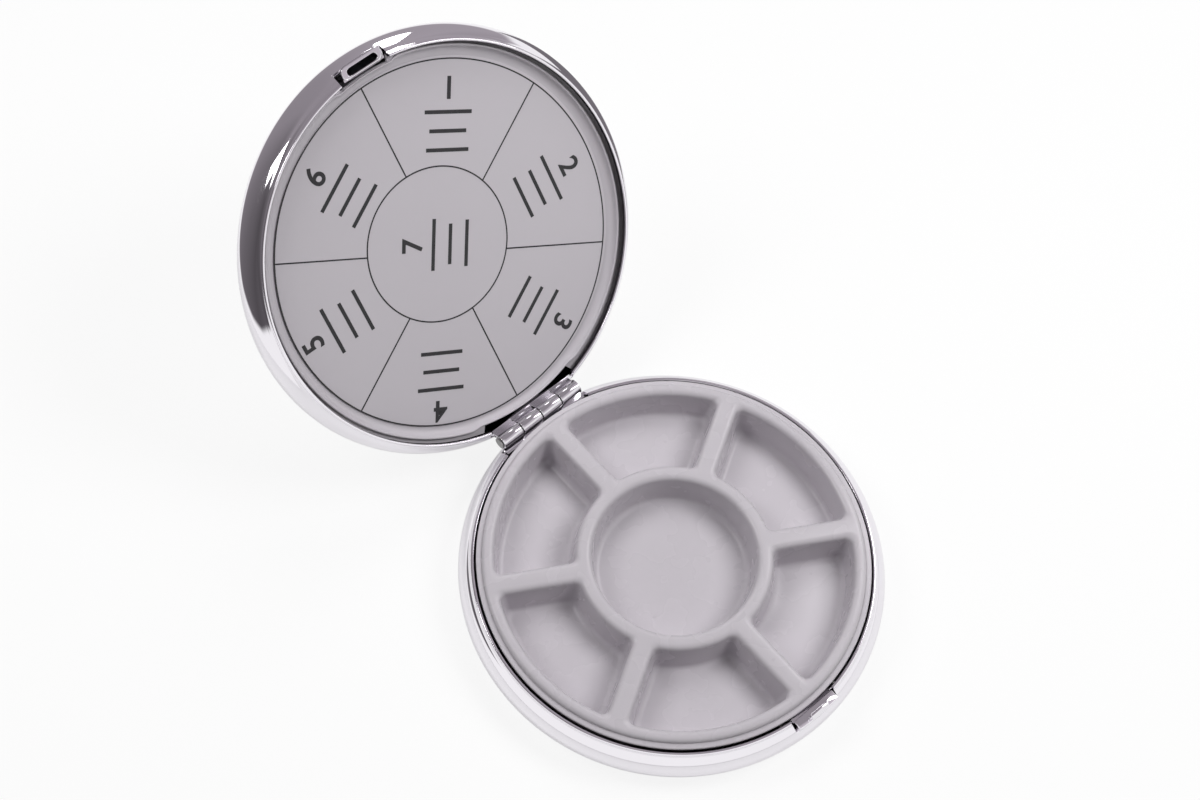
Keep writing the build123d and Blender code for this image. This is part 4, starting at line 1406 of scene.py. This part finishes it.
def card_surface(values, middle_y):
    """The reflection cards: a round wall about the box, a roof over it and a low dark card close
    to the lid's right. A point's tone follows CARD_TONES round the wall, falls from white over
    the fade above the wall's lower edge and nears the roof's tone towards the top."""
    turns = np.linspace(CARD_TONES[0][0], CARD_TONES[-1][0], values.card_columns)
    table = np.array(CARD_TONES, float)
    wall_tone = np.interp(turns, table[:, 0], table[:, 1])[:, None]
    low_edge = np.interp(turns, table[:, 0], table[:, 2] * MM)[:, None]
    heights = np.linspace(values.card_low, values.card_top, values.card_rows)[None, :]
    share = smooth((heights - low_edge) / values.card_fade)[..., None]
    upper = np.clip((heights - values.roof_start) / values.roof_blend, 0, 1)
    tint = np.array(values.card_tint)
    grey = (wall_tone * (1 - upper) + values.card_roof * upper)[..., None] * tint
    tone = 1 - share + share * grey
    wall = turned(np.full(heights.size, values.card_radius), heights[0], np.radians(turns))
    wall = wall + (0, middle_y, 0)
    faces = grid_faces(*wall.shape[:2], round_columns=False)
    rim = np.linspace(0, 2 * pi, values.roof_columns, endpoint=False)
    roof_radii = np.array([values.card_radius, values.roof_hole])
    roof = turned(roof_radii, np.full(2, values.card_top), rim)
    roof = roof + (0, middle_y, 0)
    roof_faces = grid_faces(*roof.shape[:2])
    roof_tone = np.full((roof.size // 3, 3), values.card_roof) * tint
    start, end, top = values.side_start, values.side_end, values.side_top
    side = np.array([(start, 0), (end, 0), (end, top), (start, top)])
    side = np.column_stack([np.full(4, values.side_card), side])
    side_tone = np.full((4, 3), values.side_tone) * tint
    points, faces = merged([(wall, faces), (roof, roof_faces), (side, [[0, 1, 2, 3]])])
    tones = np.concatenate([tone.reshape(-1, 3), roof_tone, side_tone])
    return points, faces, np.column_stack([tones, np.ones(len(tones))])


def only_mirrored(item):
    """Leaves a card or a lamp visible in reflections alone."""
    item.visible_camera = False
    item.visible_diffuse = False
    item.visible_transmission = False


def aimed_lamp(name, lamp, turn, reach, height, middle):
    """A lamp placed at a direction, a reach and a height round the box, and aimed at its middle."""
    holder = linked(name, lamp)
    holder.location = (reach * cos(turn), middle.y + reach * sin(turn), height)
    holder.rotation_euler = (middle - holder.location).to_track_quat("-Z", "Y").to_euler()
    return holder


def strip_lamp(name, turn, low, high, middle):
    """A tall strip light just inside the cards, which only reflections show. Its power is its
    brightness times pi times its area."""
    values = settings().studio
    lamp = bpy.data.lights.new(name, "AREA")
    lamp.shape = "RECTANGLE"
    lamp.size = values.strip_width
    lamp.size_y = high - low
    lamp.energy = values.strip_light * pi * lamp.size * lamp.size_y
    only_mirrored(aimed_lamp(name, lamp, turn, values.strip_radius, (low + high) / 2, middle))


def soft_lamp(name, turn, power, middle):
    """A large round soft light at a direction round the box, which reflections don't show."""
    values = settings().studio
    lamp = bpy.data.lights.new(name, "AREA")
    lamp.shape = "DISK"
    lamp.size = values.lamp_size
    lamp.energy = power
    holder = aimed_lamp(name, lamp, turn, values.lamp_reach, values.lamp_height, middle)
    holder.visible_glossy = False


class PILLBOX_OT_studio(bpy.types.Operator):
    """Set up the floor, the surrounding light, the reflection cards, the lamps and the camera"""

    bl_idname = "pillbox.studio"
    bl_label = "Studio"

    def execute(self, context):
        scene = context.scene
        values = settings().studio
        scene.view_settings.view_transform = "Standard"

        half = values.floor_half
        mesh = bpy.data.meshes.new("studio_floor")
        mesh.from_pydata([(-half, -half, 0), (half, -half, 0), (half, half, 0), (-half, half, 0)],
                         [], [(0, 1, 2, 3)])
        white = floor_finish(list(settings().colours.floor), values.glow, values.mirrored)
        mesh.materials.append(white)
        floor = linked("studio_floor", mesh)

        world = bpy.data.worlds.new("studio_surround")
        scene.world = world
        world.use_nodes = True
        nodes, links = world.node_tree.nodes, world.node_tree.links
        background = next(node for node in nodes if node.type == "BACKGROUND")
        background.inputs["Color"].default_value = (1, 1, 1, 1)
        strength = ranged(nodes, links, seen_share(nodes, links), values.fill, 1.0, source=(0, 1))
        links.new(strength, background.inputs["Strength"])

        middle = Vector((0, HINGE_Y * values.aim, 0))
        points, faces, tones = card_surface(values, middle.y)
        mesh = bpy.data.meshes.new("studio_cards")
        mesh.from_pydata(points.tolist(), [], faces)
        shown = mesh.attributes.new("tone", "FLOAT_COLOR", "POINT")
        shown.data.foreach_set("color", tones.astype(np.float32).ravel())
        mesh.materials.append(card_finish())
        cards = linked("studio_cards", mesh)
        only_mirrored(cards)
        cards.visible_shadow = False

        soft_lamp("soft_right", values.right_turn, values.right_power, middle)
        soft_lamp("soft_left", values.left_turn, values.left_power, middle)
        soft_lamp("soft_back", values.back_turn, values.back_power, middle)
        for name, turn, low, high in STRIP_LIGHTS:
            strip_lamp(name, radians(turn), low * MM, high * MM, middle)

        camera_data = bpy.data.cameras.new("camera")
        camera_data.sensor_width = 36
        camera_data.lens = values.lens
        camera_data.clip_start = 10 * MM
        camera = linked("camera", camera_data)
        camera.location = (values.camera_x, values.camera_y, values.camera_z)
        camera.rotation_euler = Euler((values.tilt, values.roll, values.heading), "XYZ")
        scene.camera = camera
        return {"FINISHED"}


class PILLBOX_PT_panel(bpy.types.Panel):
    """Pill box pieces"""

    bl_idname = "PILLBOX_PT_panel"
    bl_label = "Pill Box"
    bl_space_type = "VIEW_3D"
    bl_region_type = "UI"
    bl_category = "Pill Box"

    def draw(self, context):
        for operator in OPERATORS:
            self.layout.operator(operator.bl_idname)


OPERATORS = (
    PILLBOX_OT_studio,
    PILLBOX_OT_base_shell,
    PILLBOX_OT_lid_shell,
    PILLBOX_OT_tray,
    PILLBOX_OT_lining,
    PILLBOX_OT_label,
    PILLBOX_OT_hinge,
    PILLBOX_OT_latch,
)

CLASSES = (
    ShellSizes,
    TraySizes,
    LiningSizes,
    HingeSizes,
    LatchSizes,
    FinishColours,
    FinishTextures,
    StudioSettings,
    PillBoxSettings,
    *OPERATORS,
    PILLBOX_PT_panel,
)


def register():
    for item in CLASSES:
        bpy.utils.register_class(item)
    bpy.types.Scene.pill_box = PointerProperty(type=PillBoxSettings)


def unregister():
    del bpy.types.Scene.pill_box
    for item in reversed(CLASSES):
        bpy.utils.unregister_class(item)


def main():
    """Register the add-on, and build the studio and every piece."""
    register()
    bpy.ops.pillbox.studio()
    bpy.ops.pillbox.base_shell()
    bpy.ops.pillbox.lid_shell()
    bpy.ops.pillbox.tray()
    bpy.ops.pillbox.lining()
    bpy.ops.pillbox.label()
    bpy.ops.pillbox.hinge()
    bpy.ops.pillbox.latch()


if __name__ == "__main__":
    main()
